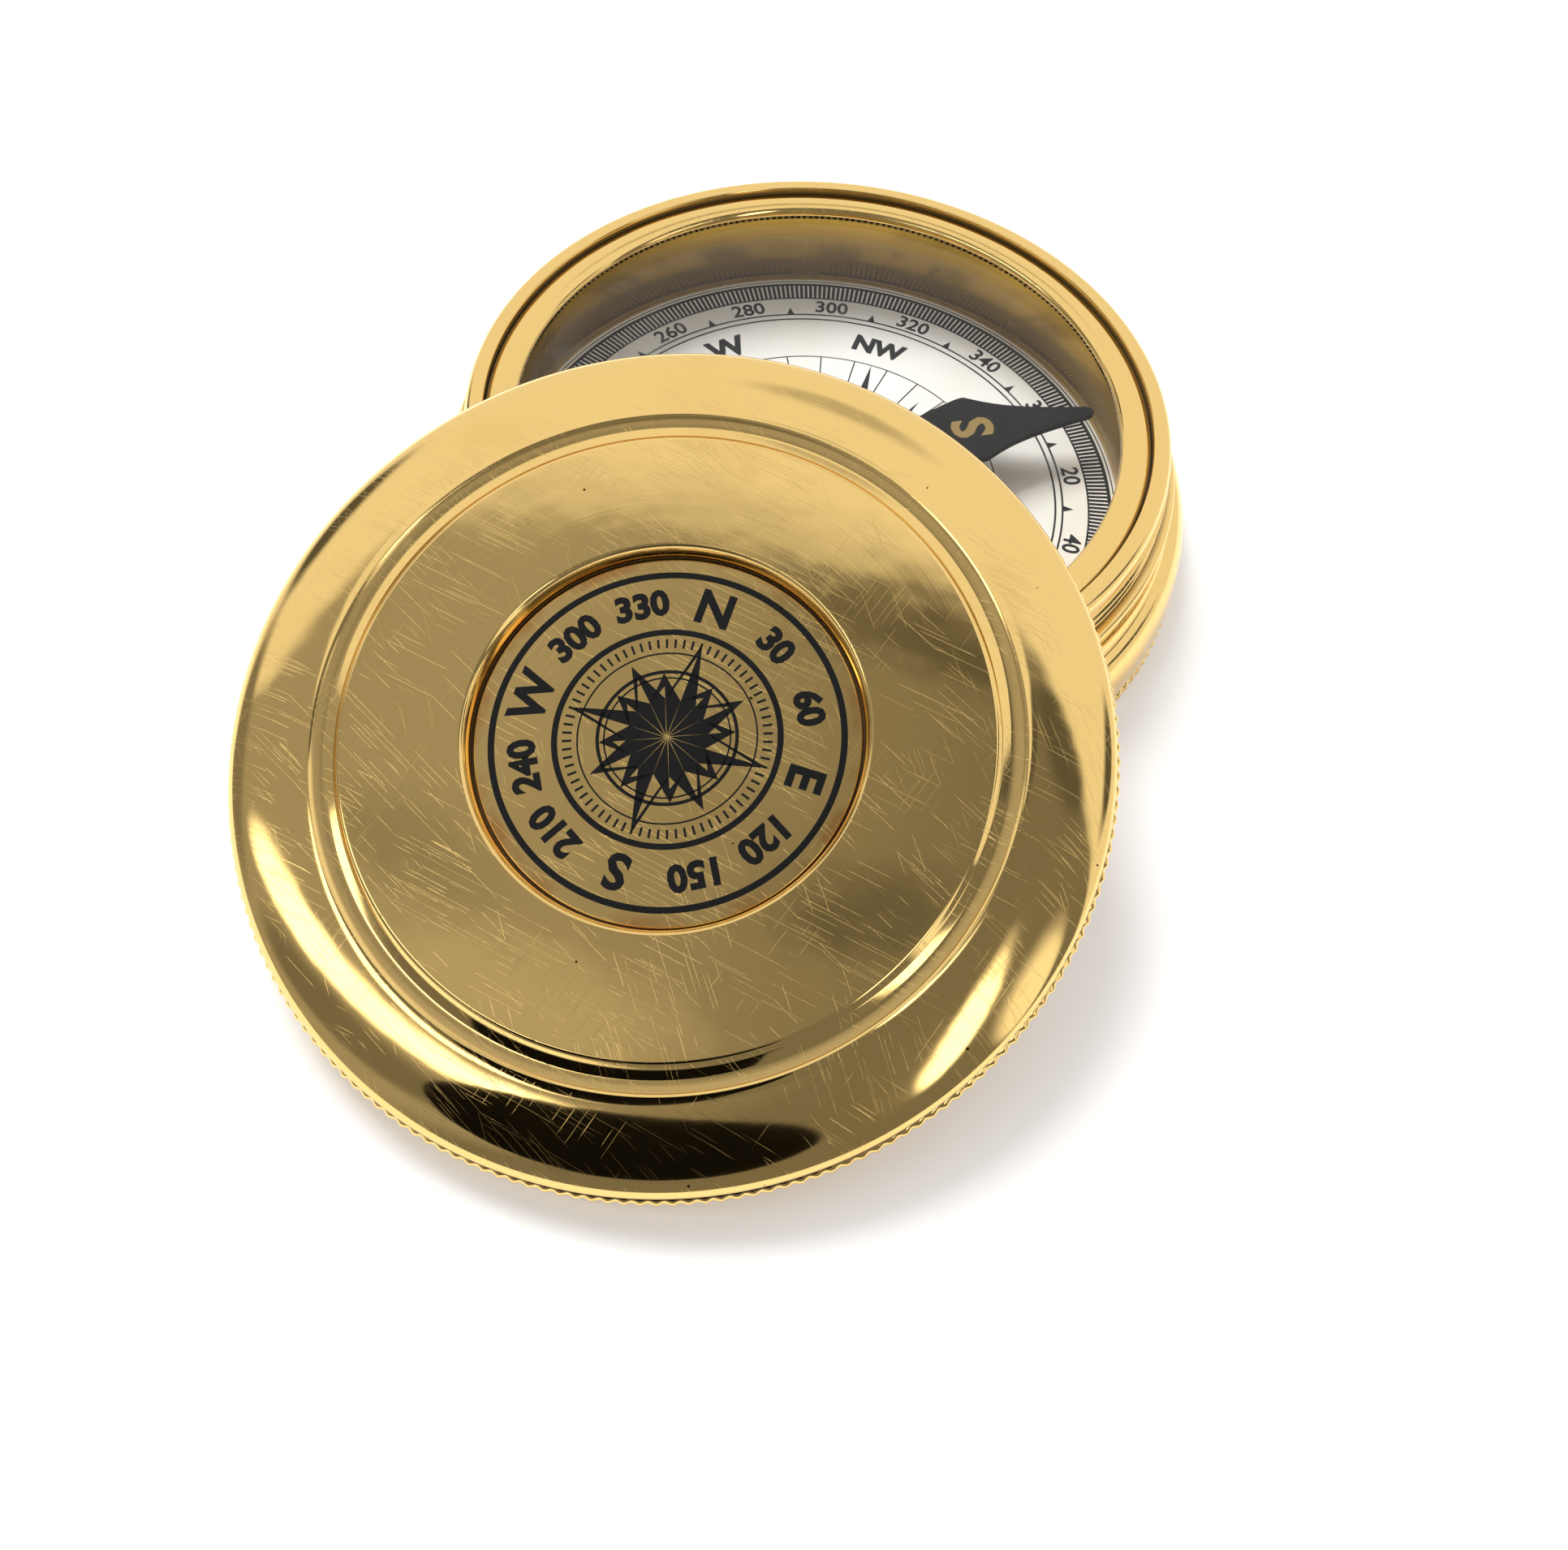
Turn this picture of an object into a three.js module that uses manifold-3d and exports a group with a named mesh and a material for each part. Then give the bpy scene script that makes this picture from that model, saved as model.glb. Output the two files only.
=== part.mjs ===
// A turned brass pocket compass with its screw lid taken off and leaning on the case.
// Millimetres, +Z up. The origin is the centre of the case's flat underside, on the table.
// The lid leans towards -Y. Each piece is built where it sits in the case, or about the lid's own
// axis with the lid's rim at zero, and the lid's group then carries it to the leaning place.

import * as THREE from "three";
import { mergeVertices } from "three/addons/utils/BufferGeometryUtils.js";
import Module from "manifold-3d";

const wasm = await Module();
wasm.setup();

// Facets round a piece

const LARGE_FACETS = 60;
const MEDIUM_FACETS = 48;
const SMALL_FACETS = 24;
const CURVE_STEPS = 2;

// Fits

const SEAT_GAP = 0.05;          // between two faces that rest on each other
const RADIAL_GAP = 0.3;         // round a piece that drops into a bore
const MEDALLION_GAP = 0.3;      // round the medallion in its recess
const LID_REST_GAP = 0.2;       // between the leaning lid's rim and the case's lip
const FLOOR_GAP = 0.02;         // under the leaning lid's rim
const THREAD_GAP = 0.25;        // between the flanks and crests of case and lid
const JEWEL_GAP = 0.3;          // between the pivot's point and the jewel's dimple
const TIP_GAP = 1.9;            // between the needle's tips and the liner
const PILLAR_GAP = 0.9;         // between the pivot's pillar and the needle's cap
const GLASS_GAP = 1.45;         // between the needle's cap and the glass

// Screw thread of neck and lid

const THREAD_PITCH = 1.3;
const THREAD_DEPTH = 0.55;
const THREAD_TURNS = 1.3;
const THREAD_ROOT_WIDTH = 0.8;
const THREAD_CREST_WIDTH = 0.3;
const THREAD_BITE = 0.3;        // how far the ridge's root runs into the wall that carries it
const THREAD_STEPS = 44;        // per turn
const THREAD_FADE = 6;          // steps over which the ridge rises at each of its ends

// Knurled bands, the same on case and lid

const KNURL_DEPTH = 0.35;
const KNURL_TEETH = 186;
const KNURL_HEIGHT = 1.05;
const KNURL_EDGE = 0.35;        // height of the chamfer under the band
const FOOT_INSET = 0.6;         // the chamfer's foot behind the root of the teeth
const KNURL_BITE = 0.45;        // how far the band runs into the body that carries it
const GROOVE_HEIGHT = 0.65;     // vee groove over the band
const GROOVE_DEPTH = 0.45;

// Case

const BORE_RADIUS = 32.5;
const NECK_WALL = 1.55;
const NECK_HEIGHT = 2.45;       // shoulder to the underside of the lip
const FLOOR_THICKNESS = 1.9;
const FLANGE_INSET = 0.1;       // the flange's edge behind the knurl's crests
const FLANGE_WALL = 2.15;       // upright part of the flange's edge
const FLANGE_ROUND = 1.7;       // how far the flange's top curves in
const COVE_DEPTH = 0.9;
const COVE_HEIGHT = 1.9;
const SHOULDER_OVERHANG = 0.3;  // the shoulder's roll past the top of the cove
const SHOULDER_THICKNESS = 1.9;
const SHOULDER_CHAMFER = 0.5;
const LIP_THICKNESS = 1.8;
const LIP_HEIGHT = 2;
const LIP_ROUND = 0.85;
const LIP_INNER_ROUND = 0.3;
const LIP_RISE = 0.35;          // the lip's top over the bezel ring's crown

// What the case holds, from its floor up

const PLATE_THICKNESS = 1.05;
const CARD_THICKNESS = 0.5;
const LINER_WALL = 0.75;
const GASKET_THICKNESS = 0.35;
const GLASS_THICKNESS = 1.5;
const BEZEL_WIDTH = 2.7;
const BEZEL_HEIGHT = 1.2;
const BEZEL_CHAMFER = 0.35;
const BEZEL_CROWN = 0.25;       // how far its top face bows up

// Pivot

const STEM_RADIUS = 1;
const STUD_FLANGE_RADIUS = 2.8;
const STUD_FLANGE_THICKNESS = 0.7;
const PILLAR_RADIUS = 1.4;
const PILLAR_TAPER = 0.4;
const PIN_RADIUS = 0.45;
const PIN_SOCKET_DEPTH = 2.6;
const PIN_POINT_LENGTH = 0.8;
const PIN_POINT_RADIUS = 0.08;

// Needle

const NEEDLE_RISE = 4.55;       // dial card to the underside of the blade
const NEEDLE_THICKNESS = 0.6;
const NEEDLE_TURN = 32;         // degrees from +X, as it came to rest
const HEAD_WIDTH = 8.8;         // across the spear head's shoulders
const HEAD_START = 9.5;         // pivot to where the arm starts to widen
const HEAD_SHOULDER = 16.6;     // pivot to the widest place
const TAPER_BEND = 21.4;        // pivot to where the head's hollow sides bend most
const TAPER_WIDTH = 2.8;
const ARM_WIDTH = 3.6;
const TIP_WIDTH = 1.5;
const HUB_RADIUS = 3.4;
const EYE_RADIUS = 2.1;         // hole for the cap's spigot
const CAP_FLANGE_RADIUS = 2.9;
const CAP_FLANGE_THICKNESS = 0.35;
const CAP_RADIUS = 2.3;
const CAP_ROOF = 1.25;          // over the jewel
const CAP_BORE_RADIUS = 1.35;
const SPIGOT_LENGTH = 0.7;      // below the cap's flange, through the blade
const JEWEL_HEIGHT = 0.8;
const JEWEL_DIMPLE_RADIUS = 0.75;
const JEWEL_DIMPLE_DEPTH = 0.55;

// Lid

const LID_WALL = 2.8;           // thread's bore to the root of the knurl
const LID_TOP_THICKNESS = 2.15; // in the middle field
const RIM_CHAMFER = 0.4;        // lead-in of the lid's thread
const SKIRT_HEIGHT = 2.05;      // plain band between the rim and the knurled one
const RIM_STEP = 0.05;          // the dome's edge behind the root of the teeth
const DOME_WIDTH = 7.5;         // the dome's edge to the bead
const BEAD_WIDTH = 0.3;         // the thin bead between dome and channel
const BEAD_DROP = 0.3;          // the bead's top under the field
const CHANNEL_SLOPE = 0.15;     // lean of the channel's outer wall
const CHANNEL_WIDTH = 2.15;
const CHANNEL_DEPTH = 0.55;
const FIELD_FILLET = 0.5;
const RECESS_RADIUS = 17.15;
const RECESS_BEVEL = 0.5;       // how far the recess's wall leans in
const RECESS_DEPTH = 2.05;
const BOSS_RADIUS = 18.6;       // the ceiling hangs lower under the recess
const BOSS_SLOPE = 0.6;
const BOSS_DROP = 0.4;
const MEDALLION_THICKNESS = 0.45;
const MEDALLION_EDGE = 0.15;
const LID_OFFSET = 40;          // case's axis to the lid's centre, in plan

// Radii worked out from the sizes above

const degrees = Math.PI / 180;
const contentsRadius = BORE_RADIUS - RADIAL_GAP;
const linerInner = contentsRadius - LINER_WALL;
const needleReach = linerInner - TIP_GAP;
const threadRoot = BORE_RADIUS + NECK_WALL;
const threadCrest = threadRoot + THREAD_DEPTH;
const lipRadius = BORE_RADIUS + LIP_THICKNESS;
const lidBore = threadCrest + THREAD_GAP;
const knurlRoot = lidBore + LID_WALL;
const knurlRadius = knurlRoot + KNURL_DEPTH;
const footRadius = knurlRoot - FOOT_INSET;
const flangeRadius = knurlRadius - FLANGE_INSET;
const domeEdge = knurlRoot - RIM_STEP;
const beadOuter = domeEdge - DOME_WIDTH;
const beadInner = beadOuter - BEAD_WIDTH;
const channelRadius = beadInner - CHANNEL_SLOPE;
const medallionRadius = RECESS_RADIUS - RECESS_BEVEL - MEDALLION_GAP;
const stemHole = STEM_RADIUS + RADIAL_GAP;
const socketRadius = PIN_RADIUS + RADIAL_GAP;
const spigotRadius = EYE_RADIUS - RADIAL_GAP;
const jewelRadius = CAP_BORE_RADIUS - RADIAL_GAP;

// Heights in the case, from the floor up

const knurlTop = KNURL_EDGE + KNURL_HEIGHT;
const grooveTop = knurlTop + GROOVE_HEIGHT;
const plateBottom = FLOOR_THICKNESS + SEAT_GAP;
const plateTop = plateBottom + PLATE_THICKNESS;
const cardBottom = plateTop + SEAT_GAP;
const cardTop = cardBottom + CARD_THICKNESS;
const linerBottom = cardTop + SEAT_GAP;
const bladeBottom = cardTop + NEEDLE_RISE;
const capBottom = bladeBottom + NEEDLE_THICKNESS + SEAT_GAP;
const spigotBottom = capBottom - SPIGOT_LENGTH;
const pillarTop = spigotBottom - PILLAR_GAP;
const socketBottom = pillarTop - PIN_SOCKET_DEPTH;
const jewelBottom = capBottom + CAP_FLANGE_THICKNESS;
const jewelTop = jewelBottom + JEWEL_HEIGHT;
const pinTop = jewelBottom + JEWEL_DIMPLE_DEPTH - JEWEL_GAP;
const capTop = jewelTop + SEAT_GAP + CAP_ROOF;
const glassBottom = capTop + GLASS_GAP;
const glassTop = glassBottom + GLASS_THICKNESS;
const gasketTop = glassBottom - SEAT_GAP;
const gasketBottom = gasketTop - GASKET_THICKNESS;
const linerTop = gasketBottom - SEAT_GAP;
const bezelBottom = glassTop + SEAT_GAP;
const bezelTop = bezelBottom + BEZEL_HEIGHT;
const lipTop = bezelTop + LIP_RISE;
const lipBottom = lipTop - LIP_HEIGHT;
const shoulderTop = lipBottom - NECK_HEIGHT;
const coveTop = shoulderTop - SHOULDER_THICKNESS;
const flangeTop = coveTop - COVE_HEIGHT;
const threadStart = shoulderTop + (NECK_HEIGHT - THREAD_TURNS * THREAD_PITCH) / 2;

// Heights in the lid, over its rim. Closed, the rim sits on the shoulder and the threads mesh.

const lidDepth = lipTop - shoulderTop + SEAT_GAP;
const lidThreadStart = threadStart - shoulderTop + THREAD_PITCH / 2;
const lidKnurlTop = SKIRT_HEIGHT + knurlTop;
const domeFoot = SKIRT_HEIGHT + grooveTop;
const fieldTop = lidDepth + LID_TOP_THICKNESS;
const beadTop = fieldTop - BEAD_DROP;
const channelFloor = fieldTop - CHANNEL_DEPTH;
const recessFloor = fieldTop - RECESS_DEPTH;
const medallionBottom = recessFloor + SEAT_GAP;

// The lid's rim stands on the table and rests on the lip where the two circles cross in plan.
// A steeper lid crosses a little elsewhere, so the angle is worked out again until it settles.
function leanAngle() {
  const firstGuess = 0.25;
  const passes = 12;
  const lipCrest = lipRadius - LIP_ROUND;
  const rise = lipTop + LID_REST_GAP - FLOOR_GAP;
  const reach = lidBore ** 2 + LID_OFFSET ** 2 - lipCrest ** 2;
  let angle = firstGuess;
  for (let pass = 0; pass < passes; pass += 1) {
    const a = (lidBore * Math.sin(angle)) ** 2;
    const b = LID_OFFSET * lidBore * Math.cos(angle);
    const crossing = (Math.sqrt(b * b + a * reach) - b) / a;
    angle = Math.asin(rise / (footRadius + lidBore * crossing));
  }
  return angle;
}

const lean = leanAngle();

// Materials

function metal(colour, roughness) {
  return new THREE.MeshStandardMaterial({ color: colour, metalness: 1, roughness });
}

function plain(colour, roughness) {
  return new THREE.MeshStandardMaterial({ color: colour, metalness: 0, roughness });
}

function clear(colour, roughness) {
  const material = plain(colour, roughness);
  material.transparent = true;
  material.opacity = 0.3;
  return material;
}

const polishedBrass = metal(0xd9b566, 0.2);
const dullBrass = metal(0x8f7a4b, 0.55);
const steel = metal(0xb4b6b8, 0.3);
const darkLacquer = plain(0x2b2a29, 0.45);
const paper = plain(0xf5f3ee, 0.9);
const fibre = plain(0x4a4238, 0.9);
const jewelGlass = plain(0x8c2f3a, 0.15);
const windowGlass = clear(0xeef4f2, 0.05);

// Solids

function closedBody(geometry) {
  const bare = geometry.index ? geometry.toNonIndexed() : geometry.clone();
  bare.deleteAttribute("normal");
  bare.deleteAttribute("uv");
  const merged = mergeVertices(bare, 1e-3);
  const index = [];
  for (let i = 0; i < merged.index.count; i += 3) {
    const [a, b, c] = [merged.index.getX(i), merged.index.getX(i + 1), merged.index.getX(i + 2)];
    if (a !== b && b !== c && c !== a) index.push(a, b, c);
  }
  merged.setIndex(index);
  return merged;
}

function solid(geometry) {
  const body = closedBody(geometry);
  return new wasm.Manifold(new wasm.Mesh({
    numProp: 3,
    vertProperties: new Float32Array(body.attributes.position.array),
    triVerts: new Uint32Array(body.index.array),
  }));
}

function geometryOf(manifold) {
  const mesh = manifold.getMesh();
  const geometry = new THREE.BufferGeometry();
  geometry.setAttribute("position", new THREE.BufferAttribute(new Float32Array(mesh.vertProperties), 3));
  geometry.setIndex(new THREE.BufferAttribute(new Uint32Array(mesh.triVerts), 1));
  return geometry;
}

// A turned piece: its outline in radius and height runs up the outside and back down the inside.
function turned(outline, facets) {
  const geometry = new THREE.LatheGeometry(outline.getPoints(CURVE_STEPS), facets);
  geometry.rotateX(Math.PI / 2);
  return geometry;
}

function outlineFrom(radius, height) {
  const outline = new THREE.Path();
  outline.moveTo(radius, height);
  return outline;
}

// A flat ring or disc, with a square edge.
function washer(inner, outer, bottom, top, facets) {
  const outline = outlineFrom(inner, bottom);
  outline.lineTo(outer, bottom);
  outline.lineTo(outer, top);
  outline.lineTo(inner, top);
  if (inner > 0) outline.lineTo(inner, bottom);
  return turned(outline, facets);
}

// A ring of straight teeth that is joined to the turned body behind it.
function knurledBand(bottom, height) {
  const shape = new THREE.Shape();
  for (let i = 0; i < 2 * KNURL_TEETH; i += 1) {
    const angle = (i * Math.PI) / KNURL_TEETH;
    const radius = i % 2 === 0 ? knurlRadius : knurlRoot;
    const point = [radius * Math.cos(angle), radius * Math.sin(angle)];
    if (i === 0) shape.moveTo(...point);
    else shape.lineTo(...point);
  }
  shape.closePath();
  const hole = new THREE.Path();
  hole.absarc(0, 0, knurlRoot - KNURL_BITE, 0, 2 * Math.PI, true);
  shape.holes.push(hole);
  const band = new THREE.ExtrudeGeometry(shape, {
    depth: height, bevelEnabled: false, curveSegments: LARGE_FACETS / 2,
  });
  band.translate(0, 0, bottom);
  return band;
}

// One unbroken helical ridge. It stands out of a neck when outward is 1, and into a bore when it is -1.
// It rises from the wall at one end and sinks back into it at the other.
function threadRidge(wallRadius, outward, startHeight) {
  const steps = Math.round(THREAD_TURNS * THREAD_STEPS);
  const root = wallRadius - outward * THREAD_BITE;
  const vertices = [];
  for (let i = 0; i <= steps; i += 1) {
    const angle = (2 * Math.PI * i) / THREAD_STEPS;
    const middle = startHeight + (THREAD_PITCH * i) / THREAD_STEPS;
    const full = Math.min(1, (i + 1) / THREAD_FADE, (steps - i + 1) / THREAD_FADE);
    const crest = wallRadius + outward * THREAD_DEPTH * full;
    const section = [
      [root, -THREAD_ROOT_WIDTH / 2], [crest, -THREAD_CREST_WIDTH / 2],
      [crest, THREAD_CREST_WIDTH / 2], [root, THREAD_ROOT_WIDTH / 2],
    ];
    if (outward < 0) section.reverse();
    for (const [radius, height] of section) {
      vertices.push(radius * Math.cos(angle), radius * Math.sin(angle), middle + height);
    }
  }
  const index = [0, 1, 2, 0, 2, 3];
  for (let i = 0; i < steps; i += 1) {
    for (let side = 0; side < 4; side += 1) {
      const near = 4 * i + side;
      const next = 4 * i + ((side + 1) % 4);
      index.push(near, near + 4, next, next, near + 4, next + 4);
    }
  }
  const end = 4 * steps;
  index.push(end, end + 2, end + 1, end, end + 3, end + 2);
  const geometry = new THREE.BufferGeometry();
  geometry.setAttribute("position", new THREE.Float32BufferAttribute(vertices, 3));
  geometry.setIndex(index);
  return geometry;
}

// Case and what it holds

function caseBowl() {
  const flangeRoundStart = grooveTop + FLANGE_WALL;
  const flangeInner = flangeRadius - FLANGE_ROUND;
  const coveRadius = flangeInner - COVE_DEPTH;
  const shoulder = coveRadius + SHOULDER_OVERHANG;
  const outline = outlineFrom(0, 0);
  outline.lineTo(footRadius, 0);
  outline.lineTo(knurlRoot, KNURL_EDGE);
  outline.lineTo(knurlRoot, knurlTop);
  outline.lineTo(knurlRoot - GROOVE_DEPTH, (knurlTop + grooveTop) / 2);
  outline.lineTo(flangeRadius, grooveTop);
  outline.lineTo(flangeRadius, flangeRoundStart);
  outline.absellipse(flangeInner, flangeRoundStart,
    FLANGE_ROUND, flangeTop - flangeRoundStart, 0, Math.PI / 2, false);
  outline.absellipse(flangeInner, coveTop, COVE_DEPTH, COVE_HEIGHT, 1.5 * Math.PI, Math.PI, true);
  outline.lineTo(shoulder, (coveTop + shoulderTop) / 2);
  outline.lineTo(shoulder, shoulderTop - SHOULDER_CHAMFER);
  outline.lineTo(shoulder - SHOULDER_CHAMFER, shoulderTop);
  outline.lineTo(threadRoot, shoulderTop);
  outline.lineTo(threadRoot, lipBottom);
  outline.lineTo(lipRadius, lipBottom);
  outline.absarc(lipRadius - LIP_ROUND, lipTop - LIP_ROUND, LIP_ROUND, 0, Math.PI / 2, false);
  outline.lineTo(BORE_RADIUS + LIP_INNER_ROUND, lipTop);
  outline.lineTo(BORE_RADIUS, lipTop - LIP_INNER_ROUND);
  outline.lineTo(BORE_RADIUS, FLOOR_THICKNESS);
  outline.lineTo(0, FLOOR_THICKNESS);
  return geometryOf(solid(turned(outline, LARGE_FACETS))
    .add(solid(knurledBand(KNURL_EDGE, KNURL_HEIGHT)))
    .add(solid(threadRidge(threadRoot, 1, threadStart))));
}

function bezelRing() {
  const inner = contentsRadius - BEZEL_WIDTH;
  const crownStart = inner + BEZEL_CHAMFER;
  const edge = bezelTop - BEZEL_CROWN;
  const outline = outlineFrom(inner, bezelBottom);
  outline.lineTo(contentsRadius, bezelBottom);
  outline.lineTo(contentsRadius, edge - BEZEL_CHAMFER);
  outline.quadraticCurveTo((crownStart + contentsRadius) / 2, bezelTop + BEZEL_CROWN, crownStart, edge);
  outline.lineTo(inner, edge - BEZEL_CHAMFER);
  outline.lineTo(inner, bezelBottom);
  return turned(outline, LARGE_FACETS);
}

function pivotStud() {
  const studBottom = cardTop + SEAT_GAP;
  const studTop = studBottom + STUD_FLANGE_THICKNESS;
  const outline = outlineFrom(0, plateBottom);
  outline.lineTo(STEM_RADIUS, plateBottom);
  outline.lineTo(STEM_RADIUS, studBottom);
  outline.lineTo(STUD_FLANGE_RADIUS, studBottom);
  outline.lineTo(STUD_FLANGE_RADIUS, studTop);
  outline.lineTo(PILLAR_RADIUS, studTop + PILLAR_TAPER);
  outline.lineTo(PILLAR_RADIUS, pillarTop - PILLAR_TAPER);
  outline.lineTo(PILLAR_RADIUS - PILLAR_TAPER, pillarTop);
  outline.lineTo(socketRadius, pillarTop);
  outline.lineTo(socketRadius, socketBottom);
  outline.lineTo(0, socketBottom);
  return turned(outline, SMALL_FACETS);
}

function pivotPin() {
  const outline = outlineFrom(0, socketBottom + SEAT_GAP);
  outline.lineTo(PIN_RADIUS, socketBottom + SEAT_GAP);
  outline.lineTo(PIN_RADIUS, pinTop - PIN_POINT_LENGTH);
  outline.lineTo(PIN_POINT_RADIUS, pinTop);
  outline.lineTo(0, pinTop);
  return turned(outline, SMALL_FACETS);
}

// Needle, drawn along X with the pivot at the middle

function needleBlade() {
  const hubAngle = Math.asin(ARM_WIDTH / 2 / HUB_RADIUS);
  const tipStart = needleReach - TIP_WIDTH / 2;
  const shape = new THREE.Shape();
  for (const way of [1, -1]) {
    const place = (along, width) => [way * along, (way * width) / 2];
    const armStart = place(HEAD_START, -ARM_WIDTH);
    if (way === 1) shape.moveTo(...armStart);
    else shape.lineTo(...armStart);
    shape.lineTo(...place(HEAD_SHOULDER, -HEAD_WIDTH));
    shape.quadraticCurveTo(...place(TAPER_BEND, -TAPER_WIDTH), ...place(tipStart, -TIP_WIDTH));
    shape.lineTo(...place(needleReach, 0));
    shape.lineTo(...place(tipStart, TIP_WIDTH));
    shape.quadraticCurveTo(...place(TAPER_BEND, TAPER_WIDTH), ...place(HEAD_SHOULDER, HEAD_WIDTH));
    shape.lineTo(...place(HEAD_START, ARM_WIDTH));
    const from = way === 1 ? hubAngle : Math.PI + hubAngle;
    shape.absarc(0, 0, HUB_RADIUS, from, from + Math.PI - 2 * hubAngle, false);
  }
  shape.closePath();
  const eye = new THREE.Path();
  eye.absarc(0, 0, EYE_RADIUS, 0, 2 * Math.PI, true);
  shape.holes.push(eye);
  const blade = new THREE.ExtrudeGeometry(shape, {
    depth: NEEDLE_THICKNESS, bevelEnabled: false, curveSegments: SMALL_FACETS / 2,
  });
  blade.translate(0, 0, bladeBottom);
  return blade;
}

function needleCap() {
  const outline = outlineFrom(CAP_BORE_RADIUS, spigotBottom);
  outline.lineTo(spigotRadius, spigotBottom);
  outline.lineTo(spigotRadius, capBottom);
  outline.lineTo(CAP_FLANGE_RADIUS, capBottom);
  outline.lineTo(CAP_FLANGE_RADIUS, jewelBottom);
  outline.lineTo(CAP_RADIUS, jewelBottom);
  outline.absellipse(0, jewelBottom, CAP_RADIUS, capTop - jewelBottom, 0, Math.PI / 2, false);
  outline.lineTo(0, jewelTop + SEAT_GAP);
  outline.lineTo(CAP_BORE_RADIUS, jewelTop + SEAT_GAP);
  outline.lineTo(CAP_BORE_RADIUS, spigotBottom);
  return turned(outline, SMALL_FACETS);
}

function jewelCup() {
  const outline = outlineFrom(0, jewelBottom + JEWEL_DIMPLE_DEPTH);
  outline.lineTo(JEWEL_DIMPLE_RADIUS, jewelBottom);
  outline.lineTo(jewelRadius, jewelBottom);
  outline.lineTo(jewelRadius, jewelTop);
  outline.lineTo(0, jewelTop);
  return turned(outline, SMALL_FACETS);
}

// Lid, drawn about its own axis with its rim at zero

function lidShell() {
  const fieldEdge = channelRadius - CHANNEL_WIDTH;
  const ceiling = lidDepth - BOSS_DROP;
  const outline = outlineFrom(lidBore + RIM_CHAMFER, 0);
  outline.lineTo(footRadius, 0);
  outline.lineTo(footRadius, SKIRT_HEIGHT);
  outline.lineTo(knurlRoot, SKIRT_HEIGHT + KNURL_EDGE);
  outline.lineTo(knurlRoot, lidKnurlTop);
  outline.lineTo(domeEdge - GROOVE_DEPTH, (lidKnurlTop + domeFoot) / 2);
  outline.lineTo(domeEdge, domeFoot);
  outline.absellipse(beadOuter, domeFoot, DOME_WIDTH, beadTop - domeFoot, 0, Math.PI / 2, false);
  outline.lineTo(beadInner, beadTop);
  outline.lineTo(channelRadius, channelFloor);
  outline.lineTo(fieldEdge + FIELD_FILLET, channelFloor);
  outline.quadraticCurveTo(fieldEdge, fieldTop, fieldEdge - FIELD_FILLET, fieldTop);
  outline.lineTo(RECESS_RADIUS, fieldTop);
  outline.lineTo(RECESS_RADIUS - RECESS_BEVEL, recessFloor);
  outline.lineTo(0, recessFloor);
  outline.lineTo(0, ceiling);
  outline.lineTo(BOSS_RADIUS, ceiling);
  outline.lineTo(BOSS_RADIUS + BOSS_SLOPE, lidDepth);
  outline.lineTo(lidBore, lidDepth);
  outline.lineTo(lidBore, RIM_CHAMFER);
  outline.lineTo(lidBore + RIM_CHAMFER, 0);
  return geometryOf(solid(turned(outline, LARGE_FACETS))
    .add(solid(knurledBand(SKIRT_HEIGHT + KNURL_EDGE, KNURL_HEIGHT)))
    .add(solid(threadRidge(lidBore, -1, lidThreadStart))));
}

function lidMedallion() {
  const top = medallionBottom + MEDALLION_THICKNESS;
  const outline = outlineFrom(0, medallionBottom);
  outline.lineTo(medallionRadius, medallionBottom);
  outline.lineTo(medallionRadius, top - MEDALLION_EDGE);
  outline.lineTo(medallionRadius - MEDALLION_EDGE, top);
  outline.lineTo(0, top);
  return turned(outline, MEDIUM_FACETS);
}

// Assembly

function piece(name, geometry, material) {
  const mesh = new THREE.Mesh(closedBody(geometry), material.clone());
  mesh.name = name;
  return mesh;
}

const compass = new THREE.Group();
compass.add(
  piece("case_bowl", caseBowl(), polishedBrass),
  piece("dial_plate", washer(stemHole, contentsRadius, plateBottom, plateTop, MEDIUM_FACETS), dullBrass),
  piece("dial_card", washer(stemHole, contentsRadius, cardBottom, cardTop, MEDIUM_FACETS), paper),
  piece("wall_liner", washer(linerInner, contentsRadius, linerBottom, linerTop, MEDIUM_FACETS), dullBrass),
  piece("glass_gasket", washer(linerInner, contentsRadius, gasketBottom, gasketTop, MEDIUM_FACETS), fibre),
  piece("glass", washer(0, contentsRadius, glassBottom, glassTop, MEDIUM_FACETS), windowGlass),
  piece("bezel_ring", bezelRing(), polishedBrass),
  piece("pivot_stud", pivotStud(), dullBrass),
  piece("pivot_pin", pivotPin(), steel),
);

const needle = new THREE.Group();
needle.rotation.z = NEEDLE_TURN * degrees;
needle.add(
  piece("needle_blade", needleBlade(), darkLacquer),
  piece("needle_cap", needleCap(), polishedBrass),
  piece("jewel_cup", jewelCup(), jewelGlass),
);
compass.add(needle);

const lid = new THREE.Group();
lid.rotation.x = lean;
lid.position.set(0, -LID_OFFSET, footRadius * Math.sin(lean) + FLOOR_GAP);
lid.add(
  piece("lid_shell", lidShell(), polishedBrass),
  piece("lid_medallion", lidMedallion(), polishedBrass),
);
compass.add(lid);

export default compass;
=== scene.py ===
import math

import bmesh
import bpy
import numpy as np
from mathutils import Matrix, Vector
from mathutils.geometry import tessellate_polygon


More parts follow.
